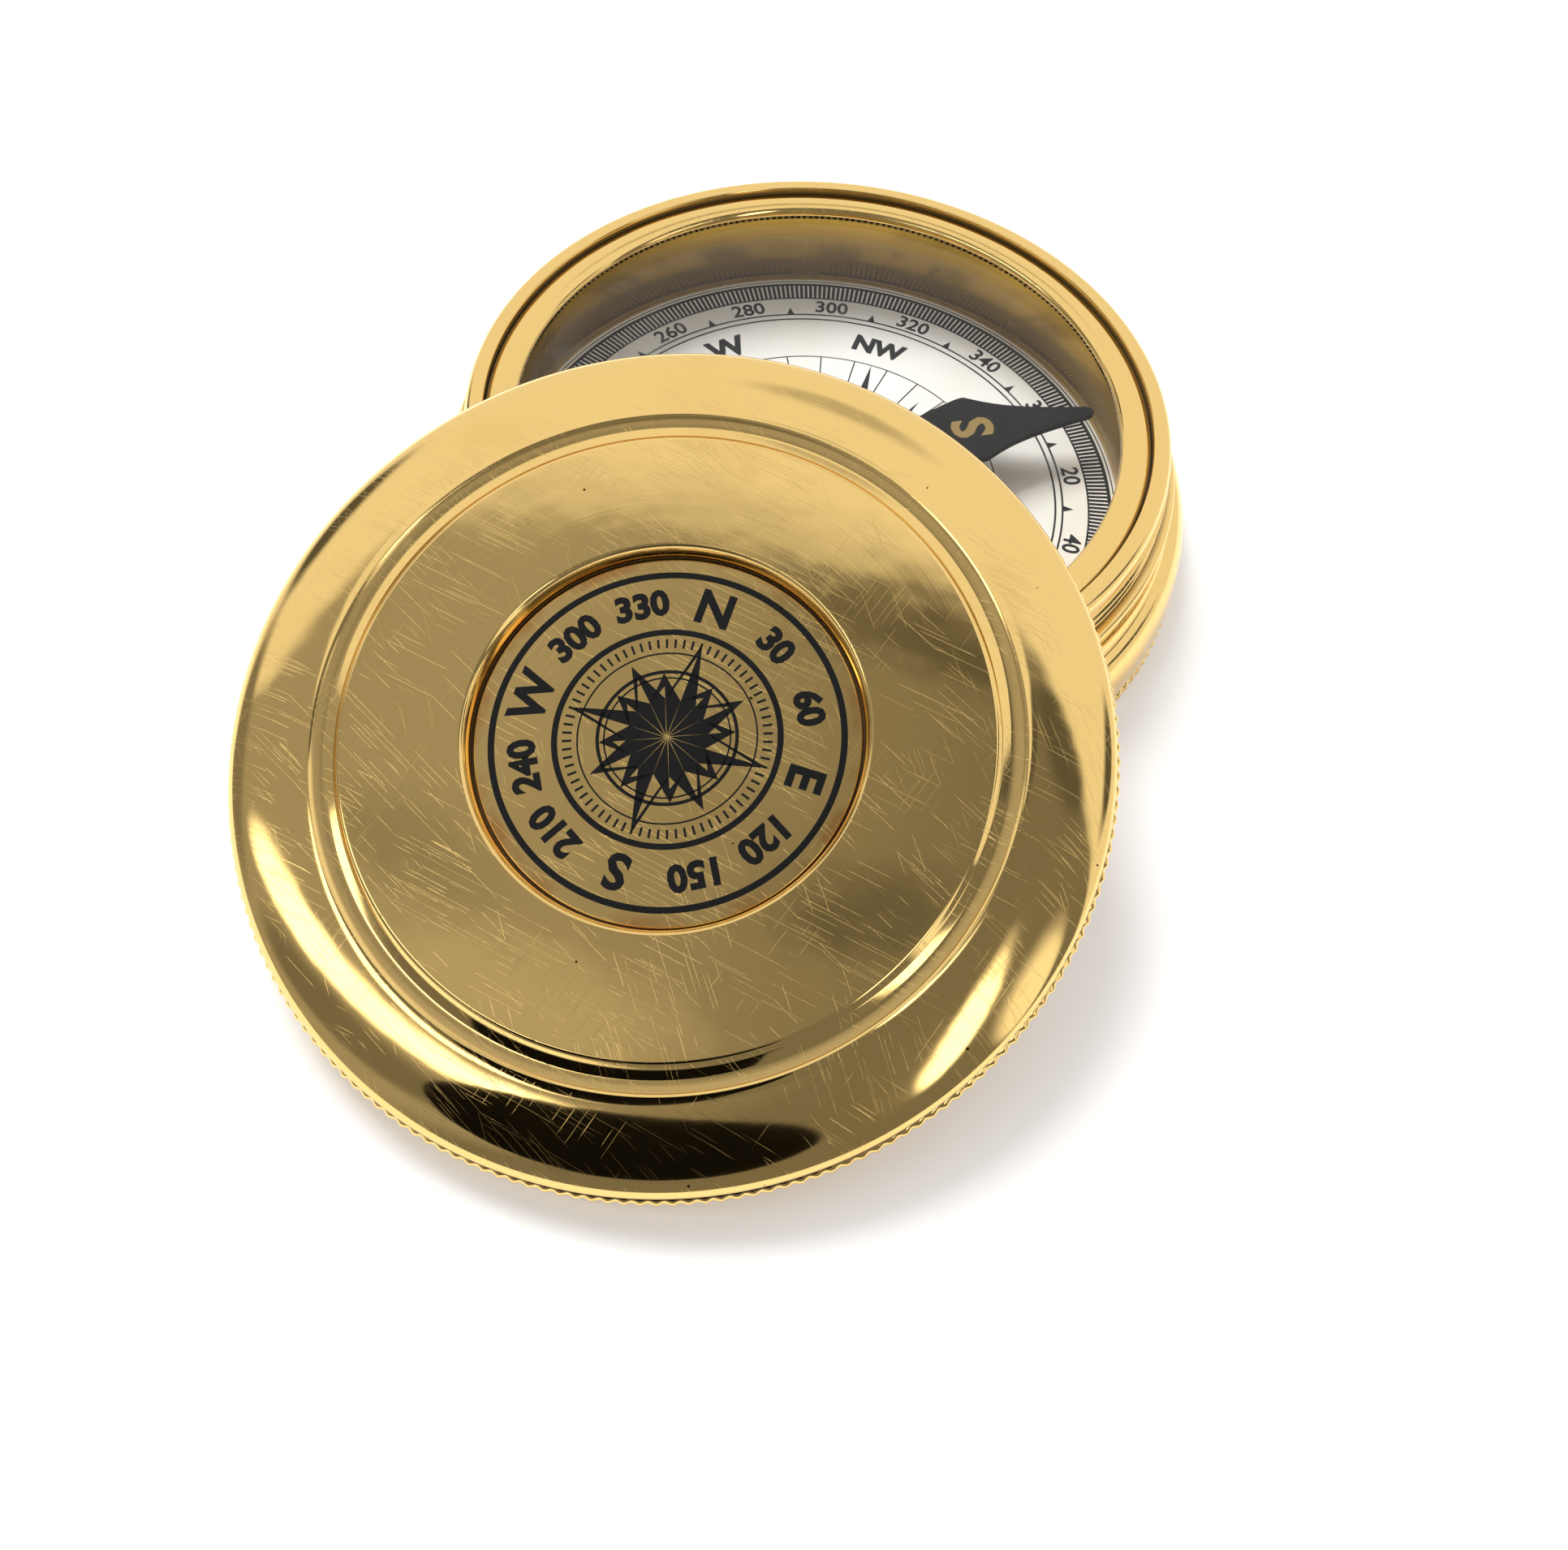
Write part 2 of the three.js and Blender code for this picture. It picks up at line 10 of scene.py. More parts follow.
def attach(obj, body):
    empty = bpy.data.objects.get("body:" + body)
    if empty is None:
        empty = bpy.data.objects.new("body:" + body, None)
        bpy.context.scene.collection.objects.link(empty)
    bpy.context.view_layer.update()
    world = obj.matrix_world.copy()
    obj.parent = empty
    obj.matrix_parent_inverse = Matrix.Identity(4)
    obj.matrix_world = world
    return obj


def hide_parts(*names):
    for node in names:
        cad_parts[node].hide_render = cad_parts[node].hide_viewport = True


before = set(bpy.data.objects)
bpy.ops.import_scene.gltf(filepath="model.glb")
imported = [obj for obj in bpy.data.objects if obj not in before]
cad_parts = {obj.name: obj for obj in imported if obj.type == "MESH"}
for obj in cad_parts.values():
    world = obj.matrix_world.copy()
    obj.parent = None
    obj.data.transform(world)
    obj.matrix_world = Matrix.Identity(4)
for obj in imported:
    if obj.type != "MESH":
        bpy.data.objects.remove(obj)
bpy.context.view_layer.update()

scene = bpy.context.scene
scene.view_settings.view_transform = "Standard"
MM = 0.001


# The camera stands in front of the compass and looks down on it, turned a little to its left
# and rolled a little, as a hand-held one is. Its tilt counts from straight down.

CAMERA_PLACE = Vector((29.644, -112.769, 127.672)) * MM
CAMERA_TURN = math.radians(15.095)
CAMERA_TILT = math.radians(33.207)
CAMERA_ROLL = math.radians(4.371)
FOCAL_PIXELS = 2000
PICTURE_WIDTH = 1932

lens = bpy.data.cameras.new("camera")
lens.sensor_width = 36
lens.sensor_fit = "HORIZONTAL"
lens.lens = lens.sensor_width * FOCAL_PIXELS / PICTURE_WIDTH
lens.clip_start = 0.01
camera = bpy.data.objects.new("camera", lens)
camera.matrix_world = (
    Matrix.Translation(CAMERA_PLACE) @ Matrix.Rotation(CAMERA_TURN, 4, "Z")
    @ Matrix.Rotation(CAMERA_TILT, 4, "X") @ Matrix.Rotation(CAMERA_ROLL, 4, "Z"))
scene.collection.objects.link(camera)
scene.camera = camera


# The case is a brass bowl, cast and then turned on a lathe: a flat foot, a plain flange, a cove
# under the shoulder, the screwed neck and a round lip. Its tool marks run round its axis.

FACETS = 288
ARC_STEP = math.radians(12)
# In mm: points nearer to each other than this are one.
CLOSEST = 0.004


def add(tree, kind, inputs=None, **settings):
    """Adds a node, sets what it is told to, and links or sets its inputs."""
    node = tree.nodes.new(kind)
    for name, value in settings.items():
        setattr(node, name, value)
    for key, value in (inputs or {}).items():
        if isinstance(value, bpy.types.Node):
            value = value.outputs[0]
        if isinstance(value, bpy.types.NodeSocket):
            tree.links.new(value, node.inputs[key])
        else:
            node.inputs[key].default_value = value
    return node


def linear(colour):
    """The linear colour of an sRGB hex value."""
    parts = [int(colour[i:i + 2], 16) / 255 for i in (1, 3, 5)]
    return [p / 12.92 if p <= 0.04045 else ((p + 0.055) / 1.055) ** 2.4 for p in parts] + [1]


def outline(*corners):
    """Points (radius, height, crevice dirt and shade) of a turned outline in mm. A corner is a
    radius, a height, the radius of its rounding and how much dirt and painted shade it holds; the
    first and last stay sharp."""
    points = []
    corners = [tuple(c) + (0,) * (4 - len(c)) for c in corners]
    for i, (x, z, bend, crevice_dirt_and_shade) in enumerate(corners):
        here = Vector((x, z))
        if not bend or i in (0, len(corners) - 1):
            points.append((x, z, crevice_dirt_and_shade))
            continue
        back = Vector(corners[i - 1][:2]) - here
        on = Vector(corners[i + 1][:2]) - here
        opening = back.angle(on)
        reach = min(bend / math.tan(opening / 2), back.length * 0.49, on.length * 0.49)
        bend = reach * math.tan(opening / 2)
        middle = here + (back.normalized() + on.normalized()).normalized() * (
            bend / math.sin(opening / 2))
        start = here + back.normalized() * reach - middle
        turn = math.pi - opening
        way = 1 if back.cross(on) < 0 else -1
        steps = max(2, math.ceil(turn / ARC_STEP))
        for k in range(steps + 1):
            point = middle + Matrix.Rotation(way * turn * k / steps, 2) @ start
            points.append((point.x, point.y, crevice_dirt_and_shade))
    return points


def curve(x, z, wide, high, start, end, steps=14, crevice_dirt_and_shade=0):
    """Corners along part of an ellipse, in degrees from outwards through upwards."""
    return [
        (x + wide * math.cos(math.radians(a)), z + high * math.sin(math.radians(a)), 0, crevice_dirt_and_shade)
        for a in np.linspace(start, end, steps)
    ]


def shaping_tree(name, inputs):
    """A new geometry tree and what it is given. It gives back one piece."""
    tree = bpy.data.node_groups.new(name, "GeometryNodeTree")
    for label, kind in inputs.items():
        tree.interface.new_socket(label, in_out="INPUT", socket_type=f"NodeSocket{kind}")
    tree.interface.new_socket("Piece", in_out="OUTPUT", socket_type="NodeSocketGeometry")
    return tree, add(tree, "NodeGroupInput").outputs


def finished(tree, shape, given):
    """Gives a tree's shape its finish, as the piece that the tree gives back."""
    shape = add(tree, "GeometryNodeSetMaterial", {"Geometry": shape, "Material": given["Finish"]})
    add(tree, "NodeGroupOutput", {"Piece": shape})
    return tree


def on_circle(tree, angle, radius, height):
    """The place at an angle round the axis, with the angle's cosine and sine."""
    cosine = add(tree, "ShaderNodeMath", {0: angle}, operation="COSINE")
    sine = add(tree, "ShaderNodeMath", {0: angle}, operation="SINE")
    x = add(tree, "ShaderNodeMath", {0: radius, 1: cosine}, operation="MULTIPLY")
    y = add(tree, "ShaderNodeMath", {0: radius, 1: sine}, operation="MULTIPLY")
    return add(tree, "ShaderNodeCombineXYZ", {"X": x, "Y": y, "Z": height}), cosine, sine


def turning_tree():
    """Sweeps an outline round the axis. Its points carry how far along the outline they lie, the
    dirt and painted shade in grooves and corners there, and how deep a knurling wheel bites."""
    tree, given = shaping_tree("turned piece", {
        "Outline": "Geometry", "Facets": "Int", "Teeth": "Int", "Tooth Depth": "Float",
        "Finish": "Material"})
    size = add(tree, "GeometryNodeAttributeDomainSize", {"Geometry": given["Outline"]})
    columns = add(tree, "ShaderNodeMath", {0: given["Facets"], 1: 1.0}, operation="ADD")
    grid = add(tree, "GeometryNodeMeshGrid", {"Vertices X": columns, "Vertices Y": size})
    index = add(tree, "GeometryNodeInputIndex")
    point = add(tree, "ShaderNodeMath", {0: index, 1: size}, operation="MODULO")
    share = add(tree, "ShaderNodeMath", {0: index, 1: size}, operation="DIVIDE")
    column = add(tree, "ShaderNodeMath", {0: share}, operation="FLOOR")
    part = add(tree, "ShaderNodeMath", {0: column, 1: given["Facets"]}, operation="DIVIDE")
    angle = add(tree, "ShaderNodeMath", {0: part, 1: math.tau}, operation="MULTIPLY")
    sampled = {}
    for name in ("along", "crevice_dirt_and_shade", "bite"):
        value = add(tree, "GeometryNodeInputNamedAttribute", {"Name": name}, data_type="FLOAT")
        sampled[name] = add(tree, "GeometryNodeSampleIndex", {
            "Geometry": given["Outline"], "Value": value, "Index": point}, data_type="FLOAT")
    spot = add(tree, "GeometryNodeSampleIndex", {
        "Geometry": given["Outline"], "Value": add(tree, "GeometryNodeInputPosition"),
        "Index": point}, data_type="FLOAT_VECTOR")
    spot = add(tree, "ShaderNodeSeparateXYZ", {0: spot}).outputs
    tooth = add(tree, "ShaderNodeMath", {0: angle, 1: given["Teeth"]}, operation="MULTIPLY")
    wave = add(tree, "ShaderNodeMath", {0: tooth}, operation="COSINE")
    valley = add(tree, "ShaderNodeMath", {0: wave, 1: -0.5, 2: 0.5}, operation="MULTIPLY_ADD")
    deep = add(tree, "ShaderNodeMath", {0: valley, 1: given["Tooth Depth"]}, operation="MULTIPLY")
    bitten = add(tree, "ShaderNodeMath", {0: deep, 1: sampled["bite"]}, operation="MULTIPLY")
    radius = add(tree, "ShaderNodeMath", {0: spot["X"], 1: bitten}, operation="SUBTRACT")
    place, cosine, sine = on_circle(tree, angle, radius, spot["Z"])
    turning = add(tree, "ShaderNodeCombineXYZ", {"X": cosine, "Y": sine, "Z": sampled["along"]})
    swept = add(tree, "GeometryNodeStoreNamedAttribute", {
        "Geometry": grid, "Name": "turning", "Value": turning}, data_type="FLOAT_VECTOR")
    swept = add(tree, "GeometryNodeStoreNamedAttribute", {
        "Geometry": swept, "Name": "crevice_dirt_and_shade", "Value": sampled["crevice_dirt_and_shade"]}, data_type="FLOAT")
    swept = add(tree, "GeometryNodeSetPosition", {"Geometry": swept, "Position": place})
    swept = add(tree, "GeometryNodeMergeByDistance", {
        "Geometry": swept, "Distance": CLOSEST / 2 * MM})
    swept = add(tree, "GeometryNodeSetShadeSmooth", {"Geometry": swept})
    return finished(tree, swept, given)


TURNING = turning_tree()


def shown(name, data):
    """A new object in the scene."""
    thing = bpy.data.objects.new(name, data)
    scene.collection.objects.link(thing)
    return thing


def settled(thing):
    """What an object comes out as, as a plain mesh in its place."""
    bpy.context.view_layer.update()
    seen = thing.evaluated_get(bpy.context.evaluated_depsgraph_get())
    mesh = bpy.data.meshes.new_from_object(seen)
    bpy.data.objects.remove(thing)
    return mesh


def shaped(name, source, tree, values):
    """The piece that a tree makes of a mesh."""
    maker = shown("maker", source)
    modifier = maker.modifiers.new("maker", "NODES")
    modifier.node_group = tree
    for item in tree.interface.items_tree:
        if item.name in values:
            modifier[item.identifier] = values[item.name]
    mesh = settled(maker)
    mesh.name = name
    return shown(name, mesh)


def lean_normals(mesh, spots):
    """Leans each normal of a turned mesh to the longer of the two sides that meet there, so that
    a narrow rounding doesn't bend the light on the broad face beside it."""
    steps = np.diff(spots, axis=0)
    sides = np.stack((steps[:, 1], -steps[:, 0]), axis=1)
    lean = np.pad(sides, ((1, 0), (0, 0))) + np.pad(sides, ((0, 1), (0, 0)))
    if math.dist(spots[0], spots[-1]) < CLOSEST:
        lean[[0, -1]] = sides[0] + sides[-1]
    lean /= np.hypot(*lean.T)[:, None]
    found = np.zeros(len(mesh.vertices) * 3)
    mesh.vertices.foreach_get("co", found)
    found = found.reshape(-1, 3) / MM
    far = np.hypot(found[:, 0], found[:, 1])
    nearest = ((far[:, None] - spots[:, 0]) ** 2 + (found[:, 2][:, None] - spots[:, 1]) ** 2
               ).argmin(axis=1)
    on_axis = far < CLOSEST
    out = np.where(on_axis, 0, lean[nearest, 0]) / np.maximum(far, CLOSEST)
    normals = np.stack((found[:, 0] * out, found[:, 1] * out, lean[nearest, 1]), axis=1)
    normals[on_axis, 2] = np.sign(normals[on_axis, 2])
    mesh.normals_split_custom_set_from_vertices(normals.tolist())


def turned(name, points, finish, facets=FACETS, teeth=0, depth=0.0, bites=None):
    """A turned piece. The points run up its outside and back down its inside, so that its
    faces point outwards."""
    points = points[:1] + [
        p for last, p in zip(points, points[1:]) if math.dist(p[:2], last[:2]) > CLOSEST]
    spots = np.array([p[:2] for p in points])
    lengths = np.hypot(*np.diff(spots, axis=0).T)
    source = bpy.data.meshes.new("outline")
    source.from_pydata([(x * MM, 0, z * MM) for x, z in spots],
                       [(i, i + 1) for i in range(len(spots) - 1)], [])
    rows = {"along": [0, *np.cumsum(lengths)], "crevice_dirt_and_shade": [p[2] for p in points],
            "bite": bites or [0] * len(points)}
    for key, row in rows.items():
        source.attributes.new(key, "FLOAT", "POINT").data.foreach_set("value", row)
    piece = shaped(name, source, TURNING, {
        "Facets": facets, "Teeth": teeth, "Tooth Depth": depth * MM, "Finish": finish})
    if not teeth:
        lean_normals(piece.data, spots)
    return piece


def bare_material(name):
    """A new material and its tree, with no nodes yet."""
    material = bpy.data.materials.new(name)
    material.use_nodes = True
    material.node_tree.nodes.clear()
    return material, material.node_tree


def place_in_mm(tree):
    """Where on the object a point lies, in mm, so that a pattern's scale is in waves to a mm."""
    place = add(tree, "ShaderNodeTexCoord").outputs["Object"]
    return add(tree, "ShaderNodeVectorMath", {0: place, 3: 1 / MM}, operation="SCALE").outputs[0]


def brass(name, colour, polish, wear=1.0, grain=1.0, tarnish=None):
    """Turned and polished brass: yellow, mirror-like, with fine tool marks round the axis, cloudy
    hand wear, scratches, small dark pits, dark brown in grooves and corners that is partly dirt
    and partly painted shade, and a browned tarnish outside a radius round a middle."""
    material, tree = bare_material(name)
    round_axis = add(tree, "ShaderNodeAttribute", attribute_name="turning").outputs["Vector"]
    # How much dark brown the outline puts in grooves and corners: partly dirt, partly painted
    # shade.
    dirt_and_shade = add(tree, "ShaderNodeAttribute", attribute_name="crevice_dirt_and_shade").outputs["Fac"]
    place = place_in_mm(tree)
    # Tool marks: 0.15 mm apart across the surface, in arcs of about 20 degrees.
    marks = add(tree, "ShaderNodeVectorMath", {0: round_axis, 1: (3, 3, 7)}, operation="MULTIPLY")
    marks = add(tree, "ShaderNodeTexNoise", {"Vector": marks, "Scale": 1, "Detail": 3})
    bands = add(tree, "ShaderNodeVectorMath", {0: round_axis, 1: (1.2, 1.2, 0.9)},
                operation="MULTIPLY")
    bands = add(tree, "ShaderNodeTexNoise", {"Vector": bands, "Scale": 1, "Detail": 2})
    # Clouds of wear about 12 mm across, and dents so shallow that they only bend a reflection.
    clouds = add(tree, "ShaderNodeTexNoise", {
        "Vector": place, "Scale": 0.08, "Detail": 5, "Roughness": 0.6})
    dents = add(tree, "ShaderNodeTexNoise", {"Vector": place, "Scale": 0.13, "Detail": 2})
    # Scratches, 0.05 mm wide: each set runs one way, 4 to 9 mm long, and lies thick in some
    # patches, 15 mm across, and thin in others. A row has the direction across a set in degrees,
    # its waves to a mm along it, what part of the noise it keeps, and its own shift.
    scratches, fine = 0, 12
    for across, along, keep, shift in (
        (81, 0.1, 0.765, 0), (64, 0.13, 0.785, 31), (38, 0.15, 0.81, 57), (162, 0.14, 0.815, 83),
    ):
        bend = add(tree, "ShaderNodeMath", {0: clouds, 1: 2.0, 2: shift}, operation="MULTIPLY_ADD")
        bend = add(tree, "ShaderNodeCombineXYZ", {"X": bend})
        hair = add(tree, "ShaderNodeMapping", {
            "Vector": place, "Rotation": (0, 0, math.radians(across)),
            "Scale": (1 / fine, -1 / along, 1)}, vector_type="TEXTURE")
        hair = add(tree, "ShaderNodeVectorMath", {0: hair, 1: bend}, operation="ADD")
        hair = add(tree, "ShaderNodeTexNoise", {"Vector": hair, "Scale": 1, "Detail": 0},
                   noise_dimensions="2D")
        thick = add(tree, "ShaderNodeVectorMath", {0: place, 1: (shift, 0, 0)}, operation="ADD")
        thick = add(tree, "ShaderNodeTexNoise", {"Vector": thick, "Scale": 0.07, "Detail": 3})
        keen = add(tree, "ShaderNodeMapRange", {
            "Value": thick, "From Min": 0.45, "From Max": 0.65, "To Min": keep + 0.08,
            "To Max": keep - 0.03})
        hair = add(tree, "ShaderNodeMath", {0: hair, 1: keen}, operation="SUBTRACT")
        hair = add(tree, "ShaderNodeMapRange", {"Value": hair, "From Max": 0.05})
        scratches = add(tree, "ShaderNodeMath", {0: hair, 1: scratches}, operation="MAXIMUM")
    # Casting pits, 0.1 to 0.3 mm across and a few mm apart.
    pits = add(tree, "ShaderNodeTexVoronoi", {"Vector": place, "Scale": 0.35})
    chance = add(tree, "ShaderNodeSeparateColor", {0: pits.outputs["Color"]})
    size = add(tree, "ShaderNodeMapRange", {
        "Value": chance, "From Min": 0.75, "From Max": 1, "To Max": 0.06})
    pitted = add(tree, "ShaderNodeMath", {0: pits.outputs["Distance"], 1: size},
                 operation="LESS_THAN")
    smooth = add(tree, "ShaderNodeMapRange", {
        "Value": clouds, "From Min": 0.35, "From Max": 0.7,
        "To Min": polish * 0.75, "To Max": polish * (1 + 0.5 * wear)})
    rough = add(tree, "ShaderNodeMath", {0: scratches, 1: 0.06 * wear, 2: smooth},
                operation="MULTIPLY_ADD")
    rough = add(tree, "ShaderNodeMath", {0: dirt_and_shade, 1: 0.35, 2: rough}, operation="MULTIPLY_ADD")
    height = add(tree, "ShaderNodeMath", {0: marks, 1: 0.0006 * grain}, operation="MULTIPLY")
    height = add(tree, "ShaderNodeMath", {0: bands, 1: 0.002 * grain, 2: height},
                 operation="MULTIPLY_ADD")
    height = add(tree, "ShaderNodeMath", {0: dents, 1: 0.035, 2: height}, operation="MULTIPLY_ADD")
    height = add(tree, "ShaderNodeMath", {0: scratches, 1: -0.0022 * wear, 2: height},
                 operation="MULTIPLY_ADD")
    bump = add(tree, "ShaderNodeBump", {"Distance": MM, "Height": height})
    warm = add(tree, "ShaderNodeMapRange", {
        "Value": clouds, "From Min": 0.55, "From Max": 0.8, "To Max": 0.3 * wear})
    tint = add(tree, "ShaderNodeMix", {0: warm, 6: linear(colour), 7: linear("#DDB062")},
               data_type="RGBA").outputs[2]
    if tarnish:
        middle, start = tarnish
        far = add(tree, "ShaderNodeVectorMath", {0: place, 1: middle}, operation="SUBTRACT")
        far = add(tree, "ShaderNodeVectorMath", {0: far}, operation="LENGTH").outputs["Value"]
        near_edge = add(tree, "ShaderNodeMapRange", {
            "Value": far, "From Min": start, "From Max": start + 0.5})
        browned = add(tree, "ShaderNodeTexNoise", {"Vector": place, "Scale": 0.16, "Detail": 4})
        browned = add(tree, "ShaderNodeMapRange", {
            "Value": browned, "From Min": 0.46, "From Max": 0.6, "To Max": 0.7})
        browned = add(tree, "ShaderNodeMath", {0: browned, 1: near_edge}, operation="MULTIPLY")
        tint = add(tree, "ShaderNodeMix", {0: browned, 6: tint, 7: linear("#DE9F5A")},
                   data_type="RGBA").outputs[2]
    # Pits and grooves turn dark brown. The pits are real; in grooves and corners it is partly dirt
    # and partly painted shade.
    spots = add(tree, "ShaderNodeMath", {0: dirt_and_shade, 1: pitted}, operation="MAXIMUM")
    tint = add(tree, "ShaderNodeMix", {0: spots, 6: tint, 7: linear("#574019")},
               data_type="RGBA").outputs[2]
    bare = add(tree, "ShaderNodeMath", {0: 1.0, 1: dirt_and_shade}, operation="SUBTRACT")
    shader = add(tree, "ShaderNodeBsdfPrincipled", {
        "Base Color": tint, "Metallic": bare, "Roughness": rough, "Normal": bump})
    add(tree, "ShaderNodeOutputMaterial", {"Surface": shader})
    return material


BODY_BRASS = brass("turned and polished brass", "#F3CE82", 0.065)

foot, flange_radius, cove_top = 37.05, 37.9, 9.4
shoulder, shoulder_top, thread_root = 35.6, 11.3, 34.05
lip_radius, lip_rounding, lip_bottom, lip_top = 34.3, 0.85, 13.75, 15.75
bore, floor_top = 32.5, 1.9
# A corner's fourth number darkens that groove or corner with dirt and painted shade.
case = turned("case_turned", outline(
    (0, 0), (foot, 0, 0.3), (37.6, 0.4, 0.1), (37.6, 1.4, 0.1, 1), (37.2, 1.72, 0.08, 1),
    (flange_radius, 2.15, 0.25),
    *curve(36.2, 4.2, 1.7, 3.3, 0, 90),
    *curve(36.2, cove_top, 0.9, 1.9, -90, -180, 10),
    (shoulder, 9.75, 0.25), (shoulder, shoulder_top, 0.45),
    (thread_root, shoulder_top, 0.15, 1), (thread_root, lip_bottom, 0.08, 1),
    (lip_radius, lip_bottom, 0.04),
    *curve(lip_radius - lip_rounding, lip_top - lip_rounding, lip_rounding, lip_rounding, 0, 90, 9),
    (bore, lip_top, 0.25), (bore, lip_top - 0.4, 0, 0.7), (bore, lip_top - 1, 0, 1),
    (bore, floor_top, 0.2), (0, floor_top),
), BODY_BRASS)
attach(case, "case")
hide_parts("case_bowl")


# The knurl is a low ridge of straight teeth round the foot, rolled into the brass with a wheel,
# so that fingers can hold the case while the lid is screwed off.

KNURL_TEETH, KNURL_DEPTH = 186, 0.19
knurl_corners = [
    (37.2, 0.35), (37.55, 0.3), (37.75, 0.38), (37.95, 0.5), (38, 0.62),
    (38, 1.12), (37.95, 1.24), (37.75, 1.36), (37.55, 1.44), (37.2, 1.4), (37.2, 0.35),
]
knurl_bites = [0, 0, 0.55, 1, 1, 1, 1, 0.55, 0, 0, 0]


def knurled(name, finish, rise=0.0):
    """The ridge with its teeth, six faces to a tooth."""
    return turned(name, [(r, z + rise, 0) for r, z in knurl_corners], finish,
                  facets=6 * KNURL_TEETH, teeth=KNURL_TEETH, depth=KNURL_DEPTH, bites=knurl_bites)


case_knurl = knurled("case_knurl", BODY_BRASS)
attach(case_knurl, "case")


# The screw thread stands out of the neck: one unbroken ridge cut on the lathe, which rises out
# of the wall at one end and runs out into it at the other.

PITCH, TURNS = 1.3, 1.3


def thread_tree():
    """Draws a flat-topped ridge along a helix."""
    tree, given = shaping_tree("screw thread", {
        "Profile": "Geometry", "Wall Radius": "Float", "Pitch": "Float", "Turns": "Float",
        "Finish": "Material"})
    climb = add(tree, "ShaderNodeMath", {0: given["Pitch"], 1: given["Turns"]},
                operation="MULTIPLY")
    helix = add(tree, "GeometryNodeCurveSpiral", {
        "Resolution": 96, "Rotations": given["Turns"], "Start Radius": given["Wall Radius"],
        "End Radius": given["Wall Radius"], "Height": climb})
    helix = add(tree, "GeometryNodeSetCurveNormal", {"Curve": helix}, mode="Z_UP")
    share = add(tree, "GeometryNodeSplineParameter")
    ends = add(tree, "ShaderNodeMath", {0: share, 1: 1.0}, operation="PINGPONG")
    other = add(tree, "ShaderNodeMath", {0: 1.0, 1: share}, operation="SUBTRACT")
    ends = add(tree, "ShaderNodeMath", {0: ends, 1: other}, operation="MINIMUM")
    rise = add(tree, "ShaderNodeMapRange", {"Value": ends, "From Max": 0.05, "To Min": 0.1})
    helix = add(tree, "GeometryNodeSetCurveRadius", {"Curve": helix, "Radius": rise})
    profile = add(tree, "GeometryNodeMeshToCurve", {"Mesh": given["Profile"]})
    ridge = add(tree, "GeometryNodeCurveToMesh", {
        "Curve": helix, "Profile Curve": profile, "Fill Caps": True})
    return finished(tree, ridge, given)


THREAD = thread_tree()


def face_outwards(mesh):
    """Turns a closed mesh's faces outwards."""
    form = bmesh.new()
    form.from_mesh(mesh)
    bmesh.ops.recalc_face_normals(form, faces=form.faces)
    form.to_mesh(mesh)
    form.free()


def thread(name, radius, out, start, finish):
    """The ridge at a wall's radius, standing outwards (1) or inwards (-1)."""
    profile = bpy.data.meshes.new("profile")
    section = [(-0.25, -0.4), (0.05, -0.36), (0.5, -0.16), (0.55, -0.1), (0.55, 0.1),
               (0.5, 0.16), (0.05, 0.36), (-0.25, 0.4)]
    corners = [(-out * x * MM, z * MM, 0) for x, z in section]
    profile.from_pydata(corners, [(i, (i + 1) % len(corners)) for i in range(len(corners))], [])
    piece = shaped(name, profile, THREAD, {
        "Wall Radius": radius * MM, "Pitch": PITCH * MM, "Turns": TURNS, "Finish": finish})
    piece.data.transform(Matrix.Translation((0, 0, start * MM)))
    face_outwards(piece.data)
    piece.data.shade_smooth()
    return piece


case_thread = thread("case_thread", thread_root, 1, 11.68, BODY_BRASS)
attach(case_thread, "case")


# A plain brass plate lies on the case's floor under the card and carries the pivot. It was
# punched from rolled sheet and never polished, and only its edge could ever be seen.

SHEET_BRASS = brass("rolled brass sheet", "#9C8650", 0.45, wear=0.6)
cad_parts["dial_plate"].data.materials.clear()
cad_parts["dial_plate"].data.materials.append(SHEET_BRASS)


# The dial is a white card, printed in dark grey and glued to the plate: a band of fine degree
# marks, a number every 20 degrees, compass points and a rose. The print is a thin film of ink.

CARD_BOTTOM, CARD_TOP, CARD_EYE, CONTENTS = 3.05, 3.55, 1.3, 32.2
INK, NORTH = 0.012, 43.8


def paper():
    """Coated card: nearly white and matt, with faint fibres 0.2 mm apart and faint yellowing."""
    material, tree = bare_material("coated card")
    place = place_in_mm(tree)
    fibres = add(tree, "ShaderNodeTexNoise", {"Vector": place, "Scale": 5, "Detail": 3})
    stains = add(tree, "ShaderNodeTexNoise", {"Vector": place, "Scale": 0.12, "Detail": 3})
    aged = add(tree, "ShaderNodeMapRange", {
        "Value": stains, "From Min": 0.4, "From Max": 0.75, "To Max": 0.6})
    tint = add(tree, "ShaderNodeMix", {0: aged, 6: linear("#F8F6F2"), 7: linear("#EFEADD")},
               data_type="RGBA").outputs[2]
    rough = add(tree, "ShaderNodeMapRange", {"Value": fibres, "To Min": 0.6, "To Max": 0.85})
    bump = add(tree, "ShaderNodeBump", {"Distance": 0.01 * MM, "Height": fibres})
    shader = add(tree, "ShaderNodeBsdfPrincipled", {
        "Base Color": tint, "Roughness": rough, "Normal": bump, "Specular IOR Level": 0.3})
    add(tree, "ShaderNodeOutputMaterial", {"Surface": shader})
    return material


